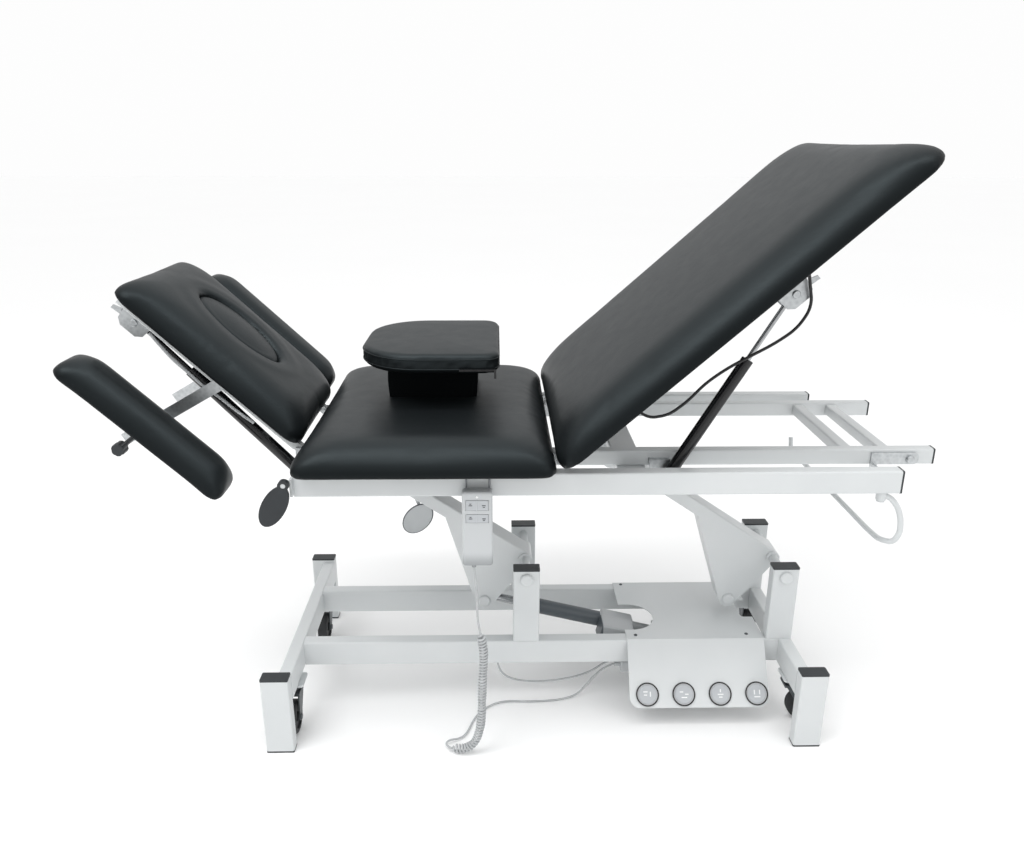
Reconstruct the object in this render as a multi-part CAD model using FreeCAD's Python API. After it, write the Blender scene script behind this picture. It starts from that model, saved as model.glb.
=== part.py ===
import FreeCAD, Part
import math
import os

# Electric hi-lo treatment couch in millimetres: +X runs from the head end to the back end,
# +Y away from the operator's side, +Z up, origin on the floor at the middle of the couch.

V = FreeCAD.Vector
os.makedirs("parts", exist_ok=True)

# ---------------------------------------------------------------- driving dimensions
couch_half_width = 340.0
pad_thickness = 64.0
running_gap = 0.05          # radial clearance of every shaft in its bore
wall = 2.5                  # wall of the steel tubes

# base
base_left = -550.0
base_right = 669.0
base_half_width = 284.5
leg_length_x = 60.0
tube_width = 30.0
leg_top = 181.8
cap_height = 4.0
rail_bottom = 115.6
rail_height = 60.0
rail_inner_y = 99.65
post_top = 355.0
post_x = [(-8.2, 51.8), (579.2, 639.2)]

# lift arms
pivot_low_z = 335.0
pivot_low_x = [21.8, 609.2]
arm_reach = 450.0
arm_angle = 34.0
arm_height = 31.0
arm_half_width = 30.0
shaft_r = 10.0
lug_pin_r = 8.0
nose_s = 18.0
nose_v = 147.0
nose_r = 21.0
nose_pin_r = 8.0

# actuator
anchor_x = 355.0
anchor_z = 114.6
actuator_rod_r = 10.0
actuator_tube_r = 18.0

# lift frame and top frame
frame_left = -442.4
frame_right = 757.9
outer_rail_y = (248.3, 278.3)
outer_rail_z = (605.7, 653.9)
inner_rail_y = (149.5, 174.6)
inner_rail_z = (628.0, 661.8)
inner_rail_x = (-440.0, 869.7)
board_z = 662.0
seat_x = (-440.0, 64.0)
end_roll = 50.0             # roll-over of the pads' top edges at their ends
side_roll = 40.0            # and along their long sides
foot_edge = 9.0             # softened lower edges

# tilting sections: hinge pin 9 mm under the board plane
pin_below_board = 9.0
hinge_pin_r = 5.0
back_hinge = (83.0, 654.3)
back_angle = 41.84
back_s = (16.0, 884.0)
head_hinge = (-456.2, 653.5)
head_angle = 43.9
head_s = (14.0, 478.0)
head_half_width = 185.0
head_thickness = 60.0
plug_s = 262.0
plug_half_length = 107.0
plug_half_width = 66.0
plug_gap = 0.6

# armrests on flat bars under the head section
bar_y = (140.7, 146.2)
bar_width = 25.0
bar_top_s = 208.0
bar_lean = 16.5
bar_length = 250.0
sleeve_gap = 0.3

# gas springs: section pivot as (distance along, height off the board plane), frame pivot as (x, z)
back_strut = dict(y=-199.5, s=558.5, n=-52.8, low=(293.0, 588.0), shown=152.0)
head_strut = dict(y=-99.5, s=416.0, n=-38.8, low=(-445.0, 560.6), shown=141.0)
strut_rod_r = 5.0
strut_tube_r = 12.5
strut_pin_r = 4.0

# casters
wheel_r = 38.0
wheel_width = 25.0
caster_trail = 30.0
caster_y = 182.0
caster_x = [-505.0, 630.0]

# cover and foot switches
cover_x = (256.0, 574.0)
cover_foot = (-214.5, 52.0)
cover_sheet = 2.0
button_x = [296.0, 379.0, 462.0, 545.5]
button_r = 21.6
button_at = 121.9

# cords
lead_r = 2.25
coil_r = 9.5


# ---------------------------------------------------------------- helpers
def save(name, shapes):
    """Write one node: a single solid or a group of separate solids."""
    solids = []
    for shape in shapes:
        solids += shape.Solids
    Part.makeCompound(solids).exportStep("parts/%s.step" % name)
    volume = sum(s.Volume for s in solids)
    print("%-22s %2d solids %10.0f mm3 valid %s" % (name, len(solids), volume, all(s.isValid() for s in solids)))


def box(x, y, z):
    return Part.makeBox(x[1] - x[0], y[1] - y[0], z[1] - z[0], V(x[0], y[0], z[0]))


def along(shape, axis):
    """Edges that run parallel to an axis: 0 = X, 1 = Y, 2 = Z."""
    keep = []
    for edge in shape.Edges:
        a, b = edge.Vertexes[0].Point, edge.Vertexes[-1].Point
        span = [abs(b[i] - a[i]) for i in range(3)]
        if span[axis] > 1e-3 and sum(span) - span[axis] < 1e-6:
            keep.append(edge)
    return keep


def bar(x, y, z, axis, radius=3.0):
    """Solid bar with rounded long edges."""
    shape = box(x, y, z)
    return shape.makeFillet(radius, along(shape, axis))


def tube(x, y, z, axis, radius=4.0):
    """Rectangular steel tube along an axis, open at both ends."""
    outer = bar(x, y, z, axis, radius)
    spans = [list(x), list(y), list(z)]
    for i in range(3):
        step = -5.0 if i == axis else wall
        spans[i] = [spans[i][0] + step, spans[i][1] - step]
    return outer.cut(bar(spans[0], spans[1], spans[2], axis, radius - wall + 0.5))


def rod(a, b, radius):
    a, b = V(*a), V(*b)
    return Part.makeCylinder(radius, (b - a).Length, a, b - a)


def rod_y(x, z, y, radius):
    return rod((x, y[0], z), (x, y[1], z), radius)


def dome(x, z, y, side, radius, height):
    """Domed bolt head on a face whose outward side is +1 or -1 along Y."""
    head = rod((x, y, z), (x, y + side * height, z), radius)
    edge = [e for e in head.Edges if abs(e.BoundBox.YMin - (y + side * height)) < 1e-4
            and abs(e.BoundBox.YMax - (y + side * height)) < 1e-4]
    return head.makeFillet(height * 0.7, edge)


def plate(points, y):
    """Plate cut from an X-Z outline, standing between two Y values."""
    wire = Part.makePolygon([V(p[0], y[0], p[1]) for p in points + points[:1]])
    return Part.Face(wire).extrude(V(0, y[1] - y[0], 0))


def around(shape, point, degrees):
    """Turned about the Y axis through an (x, z) point."""
    turned = shape.copy()
    turned.rotate(V(point[0], 0, point[1]), V(0, 1, 0), degrees)
    return turned


def mirror_y(shape):
    return shape.mirror(V(0, 0, 0), V(0, 1, 0))


def both_sides(shape):
    return [shape, mirror_y(shape)]


def rolled_block(x, y, z, axis, top_roll, low_roll):
    """Block whose edges parallel to an axis are rounded, the top ones more than the low ones."""
    block = box(x, y, z)
    middle = (z[0] + z[1]) / 2
    block = block.makeFillet(top_roll, [e for e in along(block, axis) if e.CenterOfMass.z > middle])
    return block.makeFillet(low_roll, [e for e in along(block, axis) if e.CenterOfMass.z < middle])


def cushion(x, y, z, corner, ends, sides, low):
    """Soft block: rounded in plan, and rolled over at its ends and sides."""
    plan = box(x, y, z)
    plan = plan.makeFillet(corner, along(plan, 2))
    wide_x, wide_y = (x[0] - 10, x[1] + 10), (y[0] - 10, y[1] + 10)
    lengthwise = rolled_block(x, wide_y, z, 1, ends, low)
    crosswise = rolled_block(wide_x, y, z, 0, sides, low)
    return plan.common(lengthwise).common(crosswise)


def route_tube(name, points, radius, limp=3.0):
    """Round tube along straight runs joined by tangent arcs; prints the tightest bend."""
    pts = [V(*p) for p in points]
    runs = [(pts[i + 1] - pts[i]).Length for i in range(len(pts) - 1)]
    edges = []
    start = pts[0]
    tightest = 1e9
    length = 0.0
    for i in range(1, len(pts) - 1):
        come = (pts[i] - pts[i - 1]).normalize()
        go = (pts[i + 1] - pts[i]).normalize()
        turn = come.getAngle(go)
        cut = 0.45 * min(runs[i - 1], runs[i])
        bend = cut / math.tan(turn / 2)
        tightest = min(tightest, bend)
        p_in = pts[i] - come * cut
        p_out = pts[i] + go * cut
        to_centre = (go - come).normalize()
        centre = pts[i] + to_centre * (bend / math.cos(turn / 2))
        middle = centre - to_centre * bend
        edges.append(Part.LineSegment(start, p_in).toShape())
        edges.append(Part.Arc(p_in, middle, p_out).toShape())
        length += (p_in - start).Length + bend * turn
        start = p_out
    edges.append(Part.LineSegment(start, pts[-1]).toShape())
    length += (pts[-1] - start).Length
    first = (pts[1] - pts[0]).normalize()
    ring = Part.Wire(Part.Circle(pts[0], first, radius).toShape())
    solid = Part.Wire(edges).makePipeShell([ring], True, False, 2)
    if solid.Volume < 0:
        solid.reverse()
    expected = math.pi * radius * radius * length
    print("%-22s length %.0f mm, tightest bend %.0f mm, volume ratio %.3f"
          % (name, length, tightest, abs(solid.Volume) / expected))
    return solid


# ---------------------------------------------------------------- base
cross_x = [(base_left + tube_width, base_left + 2 * tube_width), (609.0, 639.0)]
rail_top = rail_bottom + rail_height
rail_y = (rail_inner_y, rail_inner_y + tube_width)
leg_y = (base_half_width - tube_width, base_half_width)
leg_x = [(base_left, base_left + leg_length_x), (609.0, base_right)]
lower = (anchor_x, anchor_z)


def base_frame():
    parts = []
    rail = tube((cross_x[0][1], cross_x[1][0]), rail_y, (rail_bottom, rail_top), 0)
    parts += both_sides(rail)
    for x in cross_x:
        parts.append(tube(x, (-leg_y[0], leg_y[0]), (rail_bottom, rail_top), 1))
    # actuator anchor: a cross bar with two lug plates that stand clear of the actuator's eye
    cross_bar = bar((anchor_x + 28, anchor_x + 58), (-rail_inner_y, rail_inner_y), (118.0, 148.0), 1)
    for side in (-1, 1):
        y = sorted((side * 17.0, side * 23.0))
        lug = plate([(anchor_x - 14, anchor_z - 16), (anchor_x + 40, 120.0), (anchor_x + 40, 146.0),
                     (anchor_x - 14, anchor_z + 16)], y)
        cross_bar = cross_bar.fuse(lug)
    parts.append(cross_bar.removeSplitter())
    # caster plates bolted under the cross tubes
    for x in caster_x:
        for y in (-caster_y, caster_y):
            flat = box((x - 26, x + 26), (y - 26, y + 26), (rail_bottom - 4, rail_bottom))
            flat = flat.makeFillet(6, along(flat, 2))
            flat = flat.cut(rod((x, y, 90), (x, y, 120), 6 + running_gap))
            parts.append(flat)
    return parts


def base_uprights():
    parts = []
    for x in leg_x:
        parts += both_sides(tube(x, leg_y, (cap_height, leg_top), 2))
    for i in range(2):
        post = tube(post_x[i], rail_y, (rail_top, post_top), 2)
        post = post.cut(rod_y(pivot_low_x[i], pivot_low_z, (80, 140), shaft_r + running_gap))
        parts += both_sides(post)
    return parts


def tube_plugs():
    """Black plastic plugs: leg tops, leg soles and post tops."""
    parts = []
    for x in leg_x:
        parts += both_sides(bar(x, leg_y, (leg_top, leg_top + cap_height), 2))
        parts += both_sides(bar(x, leg_y, (0.0, cap_height), 2))
    for x in post_x:
        parts += both_sides(bar(x, rail_y, (post_top, post_top + cap_height), 2))
    return parts


def arm_shafts():
    parts = []
    for x in pivot_low_x:
        shaft = rod_y(x, pivot_low_z, (-rail_y[1], rail_y[1]), shaft_r)
        for side in (-1, 1):
            shaft = shaft.fuse(dome(x, pivot_low_z, side * rail_y[1], side, 15.0, 7.0))
        parts.append(shaft.removeSplitter())
    return parts


# cover: the slope's unit vectors in Y-Z, and a point on its outer face
slope_y = cover_foot[0] + rail_y[1]
slope_z = cover_foot[1] - (rail_top + cover_sheet)
slope_length = math.hypot(slope_y, slope_z)
slope_dir = V(0, slope_y / slope_length, slope_z / slope_length)
slope_out = V(0, slope_z / slope_length, -slope_y / slope_length)
button_y = -rail_y[1] + slope_dir.y * button_at
button_z = rail_top + cover_sheet + slope_dir.z * button_at


def off_slope(x, height):
    """A point on a foot switch's axis at a height above the sheet."""
    return (x, button_y + slope_out.y * height, button_z + slope_out.z * height)


def foot_cover():
    top = rail_top + cover_sheet
    bend = V(0, -rail_y[1], top)
    foot = V(0, cover_foot[0], cover_foot[1])
    inner_foot = foot - slope_out * cover_sheet
    # the inner bend lies where the two inner faces meet
    along_slope = (bend.z - cover_sheet - inner_foot.z) / -slope_dir.z
    inner_bend = inner_foot - slope_dir * along_slope
    outline = [V(0, rail_y[1], top), bend, foot, inner_foot, inner_bend, V(0, rail_y[1], rail_top)]
    for p in outline:
        p.x = cover_x[0]
    sheet = Part.Face(Part.makePolygon(outline + outline[:1])).extrude(V(cover_x[1] - cover_x[0], 0, 0))
    corners = [e for e in sheet.Edges
               if abs(e.Length - cover_sheet) < 0.01 and e.CenterOfMass.z < cover_foot[1] + 5]
    sheet = sheet.makeFillet(24.0, corners)
    # slot for the motor, open at the left edge
    slot_y = -33.5
    slot_r = 56.0
    slot_end = 276.0
    sheet = sheet.cut(box((cover_x[0] - 5, slot_end), (slot_y - slot_r, slot_y + slot_r), (150, 200)))
    sheet = sheet.cut(rod((slot_end, slot_y, 150), (slot_end, slot_y, 200), slot_r))
    # notch for the right arm's nose when the couch is lowered
    notch = box((cover_x[1] - 28, cover_x[1] + 5), (-38, 38), (150, 200))
    sheet = sheet.cut(notch.makeFillet(8, [e for e in along(notch, 2) if e.CenterOfMass.x < cover_x[1]]))
    for x in button_x:
        sheet = sheet.cut(rod(off_slope(x, -10), off_slope(x, 10), button_r + 1.4))
    return [sheet]


def foot_switch_rings():
    parts = []
    for x in button_x:
        ring = rod(off_slope(x, 0), off_slope(x, 4), 26.5)
        ring = ring.fuse(rod(off_slope(x, -20), off_slope(x, 0), button_r + 1.35))
        ring = ring.cut(rod(off_slope(x, -17), off_slope(x, 5), button_r + 0.3))
        parts.append(ring.removeSplitter())
    return parts


def foot_button(x):
    cap = rod(off_slope(x, -11), off_slope(x, 7), button_r)
    rim = [e for e in cap.Edges if (e.CenterOfMass - V(*off_slope(x, 7))).Length < 0.01]
    return cap.makeFillet(2.5, rim)


def control_box():
    case = box((250, 410), (-96, -30), (62, 94))
    case = case.makeFillet(5, case.Edges)
    hanger = box((300, 360), (-rail_inner_y, -96.5), (70, rail_bottom + 30))
    gland = rod((236, -84, 80), (250.5, -84, 80), 6)
    gland = gland.fuse(rod((236, -66, 80), (250.5, -66, 80), 6))
    bridge = box((300, 360), (-97, -95), (72, 90))
    return [case.fuse(gland).fuse(bridge).fuse(hanger).removeSplitter()]


def cables():
    motor = [(235, -66, 80), (213, -68, 72), (184, -72, 52), (150, -76, 40), (105, -80, 33), (60, -82, 30),
             (20, -84, 33), (-14, -88, 44), (-34, -92, 62), (-44, -96, 88), (-46, -101, 114)]
    save("motor_cable", [route_tube("motor_cable", motor, lead_r)])
    floor = [(235, -84, 80), (213, -86, 72), (188, -91, 52), (166, -98, 27), (146, -106, 10), (122, -112, 4.2),
             (92, -118, 3), (56, -121, 3), (20, -122, 3), (-14, -119, 3), (-44, -124, 3), (-68, -140, 3),
             (-88, -162, 3), (-101, -188, 3), (-109, -216, 3.2), (-118, -240, 4), (-132, -254, 6.5),
             (-148, -260, 9.5), (-158, -268, 10.5), (-158, -280, 10.5), (-148, -287, 10.5)]
    save("floor_cord", [route_tube("floor_cord", floor, lead_r)])
    coil = [(-148, -287, 10.5), (-130, -291, 10.6), (-110, -294, 16), (-93, -296, 33), (-84, -296, 62),
            (-79, -296, 98), (-78, -296, 140), (-77, -296, 184), (-74, -296, 228), (-73, -296, 268),
            (-80, -296, 306)]
    save("handset_coil", [route_tube("handset_coil", coil, coil_r)])
    lead = [(-80, -296, 306), (-84.8, -296, 332), (-86, -296, 362), (-85, -296, 394), (-88, -295.5, 428),
            (-91, -295, 459.7)]
    save("handset_cord", [route_tube("handset_cord", lead, lead_r)])


# ---------------------------------------------------------------- lift arms and actuator
sin_arm = math.sin(math.radians(arm_angle))
cos_arm = math.cos(math.radians(arm_angle))


def on_arm(pivot, s, v):
    """(x, z) of a point s along the arm from its low pivot and v to its lower side."""
    return (pivot - cos_arm * s - sin_arm * v, pivot_low_z + sin_arm * s - cos_arm * v)


def lift_arm(pivot):
    """Square-cornered tube with round ends, hubs and a folded gusset that ends in a nose."""
    half = arm_height / 2
    y = (-arm_half_width, arm_half_width)
    level = box((pivot - arm_reach, pivot), y, (pivot_low_z - half, pivot_low_z + half))
    level = level.makeFillet(4.0, along(level, 0))
    hollow = box((pivot - arm_reach - 1, pivot + 1), (y[0] + 3, y[1] - 3),
                 (pivot_low_z - half + 3, pivot_low_z + half - 3))
    level = level.cut(hollow)
    arm = around(level, (pivot, pivot_low_z), arm_angle)
    top = on_arm(pivot, arm_reach, 0)
    low = (pivot, pivot_low_z)
    for centre, hub in ((low, 36.0), (top, 32.6)):
        arm = arm.fuse(rod_y(centre[0], centre[1], (-hub, hub), half))
    # gusset outline: from the tube's lower face to the nose and back to the low pivot
    reach = math.hypot(nose_s - 213.0, nose_v - half)
    lean = math.atan2(nose_v - half, nose_s - 213.0) - math.asin(nose_r / reach)
    left = (nose_s + nose_r * math.sin(lean), nose_v - nose_r * math.cos(lean))
    right = (nose_s - nose_r, nose_v - 2.0)
    corners = [(213.0, 0.0), (213.0, half), left, (nose_s, nose_v), right, (-half + 1.5, 4.0), (0.0, 0.0)]
    nose = on_arm(pivot, nose_s, nose_v)
    for side in (-1, 1):
        plate_y = sorted((side * (arm_half_width - 3), side * arm_half_width))
        cheek = plate([on_arm(pivot, s, v) for s, v in corners], plate_y)
        cheek = cheek.fuse(rod_y(nose[0], nose[1], plate_y, nose_r))
        arm = arm.fuse(cheek)
    # closed left edge of the fold
    run = math.hypot(left[0] - 213.0, left[1] - half)
    unit = ((left[0] - 213.0) / run, (left[1] - half) / run)
    inward = (-abs(unit[1]), -abs(unit[0]))
    web = [(213.0, half), left, (left[0] + 3 * inward[0], left[1] + 3 * inward[1]),
           (213.0 + 3 * inward[0], half + 3 * inward[1])]
    arm = arm.fuse(plate([on_arm(pivot, s, v) for s, v in web], (-arm_half_width + 1, arm_half_width - 1)))
    arm = arm.cut(rod_y(low[0], low[1], (-50, 50), shaft_r + running_gap))
    arm = arm.cut(rod_y(top[0], top[1], (-50, 50), lug_pin_r + running_gap))
    arm = arm.removeSplitter()
    # nose pin with its domed heads
    pin = rod_y(nose[0], nose[1], (-arm_half_width, arm_half_width), nose_pin_r)
    for side in (-1, 1):
        pin = pin.fuse(dome(nose[0], nose[1], side * arm_half_width, side, 14.0, 6.5))
    arm = arm.cut(rod_y(nose[0], nose[1], (-50, 50), nose_pin_r + running_gap))
    return [arm, pin.removeSplitter()]


left_nose = on_arm(pivot_low_x[0], nose_s, nose_v)
thrust = V(lower[0] - left_nose[0], 0, lower[1] - left_nose[1])
thrust_length = thrust.Length
thrust.normalize()
thrust_tilt = -math.degrees(math.atan2(thrust.z, thrust.x))


def on_thrust(w, y=0.0):
    return (left_nose[0] + thrust.x * w, y, left_nose[1] + thrust.z * w)


def thrust_box(w, y, h):
    """Block laid along the actuator: w from the nose pin, h above the axis."""
    x0, z0 = left_nose
    block = box((x0 + w[0], x0 + w[1]), y, (z0 + h[0], z0 + h[1]))
    block = block.makeFillet(5.0, block.Edges)
    return around(block, left_nose, thrust_tilt)


def actuator():
    piston = rod(on_thrust(14), on_thrust(222), actuator_rod_r)
    eye = rod_y(left_nose[0], left_nose[1], (-12, 12), 17.0)
    piston = piston.fuse(eye)
    piston = piston.cut(rod_y(left_nose[0], left_nose[1], (-20, 20), nose_pin_r + running_gap))
    save("actuator_rod", [piston.removeSplitter()])
    tube_out = rod(on_thrust(110), on_thrust(292), actuator_tube_r)
    tube_out = tube_out.cut(rod(on_thrust(109), on_thrust(288), actuator_rod_r + running_gap))
    gearbox = thrust_box((292, 372), (-21, 21), (-22, 20)).fuse(thrust_box((286, 366), (-70, -15), (-26, 24)))
    tail = rod(on_thrust(360), on_thrust(thrust_length - 4), 11.0)
    tail = tail.fuse(rod_y(lower[0], lower[1], (-13, 13), 13.0))
    housing = gearbox.fuse(tail).cut(rod_y(lower[0], lower[1], (-20, 20), 5.0))
    save("actuator_body", [tube_out, housing.removeSplitter().cut(tube_out)])


# ---------------------------------------------------------------- lift frame
lift_tops = [on_arm(x, arm_reach, 0) for x in pivot_low_x]
rod_post = (728.0, -263.3)


def lift_frame():
    parts = both_sides(tube((frame_left, frame_right), outer_rail_y, outer_rail_z, 0))
    for x, z in lift_tops:
        cross = tube((x - 30, x + 30), (-outer_rail_y[0], outer_rail_y[0]), (outer_rail_z[0], inner_rail_z[0]), 1)
        for side in (-1, 1):
            lug_y = sorted((side * 33.0, side * 39.0))
            lug = box((x - 40, x + 40), lug_y, (z - 18, outer_rail_z[0]))
            low_edges = [e for e in along(lug, 1) if e.CenterOfMass.z < z]
            lug = lug.makeFillet(16, low_edges)
            cross = cross.fuse(lug)
        cross = cross.cut(rod_y(x, z, (-60, 60), lug_pin_r + running_gap))
        parts.append(cross.removeSplitter())
        pin = rod_y(x, z, (-39, 39), lug_pin_r)
        for side in (-1, 1):
            pin = pin.fuse(dome(x, z, side * 39.0, side, 13.0, 6.0))
        parts.append(pin.removeSplitter())
    # pin of the paper-roll rod under the near rail
    parts.append(rod((rod_post[0], rod_post[1], 587), (rod_post[0], rod_post[1], outer_rail_z[0]), 5.0)
                 .fuse(rod((rod_post[0], rod_post[1], 584), (rod_post[0], rod_post[1], 588), 8.0)).removeSplitter())
    # bracket of the near paddle and the stub of the far-side paddle
    strap = box((frame_left - 5, frame_left), (-290, -outer_rail_y[0]), (612, 648))
    strap = strap.fuse(rod_y(frame_left - 14, 640, (-302, -288), 5)).fuse(
        box((frame_left - 14, frame_left - 4), (-290, -284), (634, 646)))
    parts.append(strap.removeSplitter())
    x_face = lift_tops[0][0] + 30
    stub = box((x_face, x_face + 22), (38, 44), (606, 624)).fuse(rod_y(x_face + 14, 614, (44, 70), 4))
    parts.append(stub.removeSplitter())
    return parts


def top_frame():
    parts = both_sides(tube(inner_rail_x, inner_rail_y, inner_rail_z, 0))
    for x in ((-440.0, -410.0), (-60.0, -30.0), (684.0, 710.0), (765.0, 790.0)):
        parts.append(tube(x, (-inner_rail_y[0], inner_rail_y[0]), (632.0, 657.0), 1))
    return parts


def rail_end_caps():
    parts = []
    for x in ((frame_right, frame_right + 4),):
        parts += both_sides(bar(x, outer_rail_y, outer_rail_z, 0))
    parts.append(bar((frame_left - 4, frame_left), (248.3, 278.3), outer_rail_z, 0))
    parts += both_sides(bar((inner_rail_x[1], inner_rail_x[1] + 4), inner_rail_y, inner_rail_z, 0))
    return parts


def tilt_ears():
    """Steel ears from the outer rails' ends to a bolt on each inner rail."""
    ear = box((738, 838), (-inner_rail_y[1] - 5, -inner_rail_y[1]), (630, 656))
    ear = ear.makeFillet(10, [e for e in along(ear, 1) if e.CenterOfMass.x > 800])
    arm = box((738, 743), (-outer_rail_y[0], -inner_rail_y[1]), (610, 634))
    arm = arm.fuse(box((738, 752), (-inner_rail_y[1] - 5, -inner_rail_y[1]), (610, 634)))
    bolt = dome(820, 641, -inner_rail_y[1] - 5, -1, 9.0, 6.0)
    return both_sides(ear.fuse(arm).fuse(bolt).removeSplitter())


def section_hinges():
    """Pins of the two tilting sections on plates beside the inner rails, and the gas springs' low brackets."""
    parts = []
    for centre, y in ((back_hinge, (186.5, 212.0)), (head_hinge, (120.7, 140.7))):
        if centre is back_hinge:
            leaf = box((centre[0] - 28, centre[0] + 9), (inner_rail_y[1], inner_rail_y[1] + 8), (636, 660))
            pin = rod_y(centre[0], centre[1], (inner_rail_y[1] + 4, y[1] + 4), hinge_pin_r)
        else:
            leaf = box((centre[0] - 9, inner_rail_x[0]), (y[1] + 1.0, y[1] + 8.8), (640, 661))
            pin = rod_y(centre[0], centre[1], (y[0] - 4, y[1] + 6), hinge_pin_r)
        parts += both_sides(leaf.fuse(pin).removeSplitter())
    # back spring: plate on a strap under the near inner rail
    x, z = back_strut["low"]
    y = back_strut["y"]
    inner = y + strut_tube_r + 0.8
    strap = box((x - 22, x + 22), (inner, -inner_rail_y[1]), (640, 646))
    hang = plate([(x - 22, 646), (x - 14, z - 14), (x + 14, z - 14), (x + 22, 646)], (inner, inner + 5))
    parts.append(strap.fuse(hang).removeSplitter())
    # head spring: plate hanging from the first cross tube
    x, z = head_strut["low"]
    y = head_strut["y"]
    hang = plate([(-440.0, 632.0), (-412.0, 632.0), (x + 16, z - 14), (x - 14, z - 14)],
                 (y - strut_tube_r - 5.8, y - strut_tube_r - 0.8))
    parts.append(hang)
    return parts


def seat_pad():
    return [cushion(seat_x, (-couch_half_width, couch_half_width), (board_z, board_z + pad_thickness),
                    40, end_roll, side_roll, foot_edge)]


# ---------------------------------------------------------------- tilting sections
def on_back(s, n):
    """Flat (x, z) of a point of the back section."""
    return (back_hinge[0] + s, back_hinge[1] + pin_below_board + n)


def on_head(s, n):
    """Flat (x, z) of a point of the head section."""
    return (head_hinge[0] - s, head_hinge[1] + pin_below_board + n)


def raise_back(shape):
    return around(shape, back_hinge, -back_angle)


def raise_head(shape):
    return around(shape, head_hinge, head_angle)


def spin(point, centre, degrees):
    """(x, z) point turned about the Y axis."""
    a = math.radians(degrees)
    dx, dz = point[0] - centre[0], point[1] - centre[1]
    return (centre[0] + dx * math.cos(a) + dz * math.sin(a), centre[1] - dx * math.sin(a) + dz * math.cos(a))


def strut_bracket(flat, y, sign, top):
    """Two cheeks and a web under a section, with the pin of the gas spring's rod."""
    x, z = flat
    slot = strut_tube_r + 1.0
    parts = None
    for side in (-1, 1):
        cheek_y = sorted((y + side * slot, y + side * (slot + 3.0)))
        cheek = plate([(x - 34, top), (x - 30, z - 12), (x - 18, z - 22), (x + 18, z - 22), (x + 30, z - 12),
                       (x + 34, top)], cheek_y)
        parts = cheek if parts is None else parts.fuse(cheek)
    parts = parts.fuse(box((x - 34, x + 34), (y - slot - 3, y + slot + 3), (top - 3, top)))
    parts = parts.fuse(rod_y(x, z, (y - slot - 1, y + slot + 1), strut_pin_r))
    parts = parts.fuse(dome(x, z, y - slot - 3, -1, 8.0, 4.0))
    # release lever, its screw and the cable clamp on the far end of the bracket
    lever = plate([(x + sign * 34, z + 8), (x + sign * 52, z + 2), (x + sign * 52, z - 6), (x + sign * 30, z - 4)],
                  (y - slot - 3, y - slot + 1))
    clamp = rod_y(x - sign * 26, z + 12, (y - slot - 8, y - slot - 2.5), 6.0)
    return parts.fuse(lever).fuse(clamp).removeSplitter()


def strut_rod(pivot, low, y, shown, inside):
    axis = V(low[0] - pivot[0], 0, low[1] - pivot[1]).normalize()
    start = V(pivot[0], y, pivot[1])
    stem = rod(tuple(start + axis * 6), tuple(start + axis * (shown + inside)), strut_rod_r)
    eye = rod_y(pivot[0], pivot[1], (y - 6, y + 6), 10.0)
    return stem.fuse(eye).cut(rod_y(pivot[0], pivot[1], (y - 9, y + 9), strut_pin_r + running_gap)).removeSplitter()


def strut_cylinder(pivot, low, y, shown):
    axis = V(low[0] - pivot[0], 0, low[1] - pivot[1]).normalize()
    total = math.hypot(low[0] - pivot[0], low[1] - pivot[1])
    start = V(pivot[0], y, pivot[1])
    barrel = rod(tuple(start + axis * shown), tuple(start + axis * (total - 11)), strut_tube_r)
    rims = [e for e in barrel.Edges if e.Curve.TypeId == "Part::GeomCircle"]
    barrel = barrel.makeFillet(2.0, rims)
    barrel = barrel.fuse(rod_y(low[0], low[1], (y - 6, y + 6), 11.0))
    barrel = barrel.fuse(rod(tuple(start + axis * (total - 14)), tuple(start + axis * (total - 2)), 7.0))
    bore = rod(tuple(start + axis * (shown - 2)), tuple(start + axis * (total - 28)), strut_rod_r + running_gap)
    pin = rod_y(low[0], low[1], (y - 12, y + 12), 4.0)
    return barrel.cut(bore).fuse(pin).removeSplitter()


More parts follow.
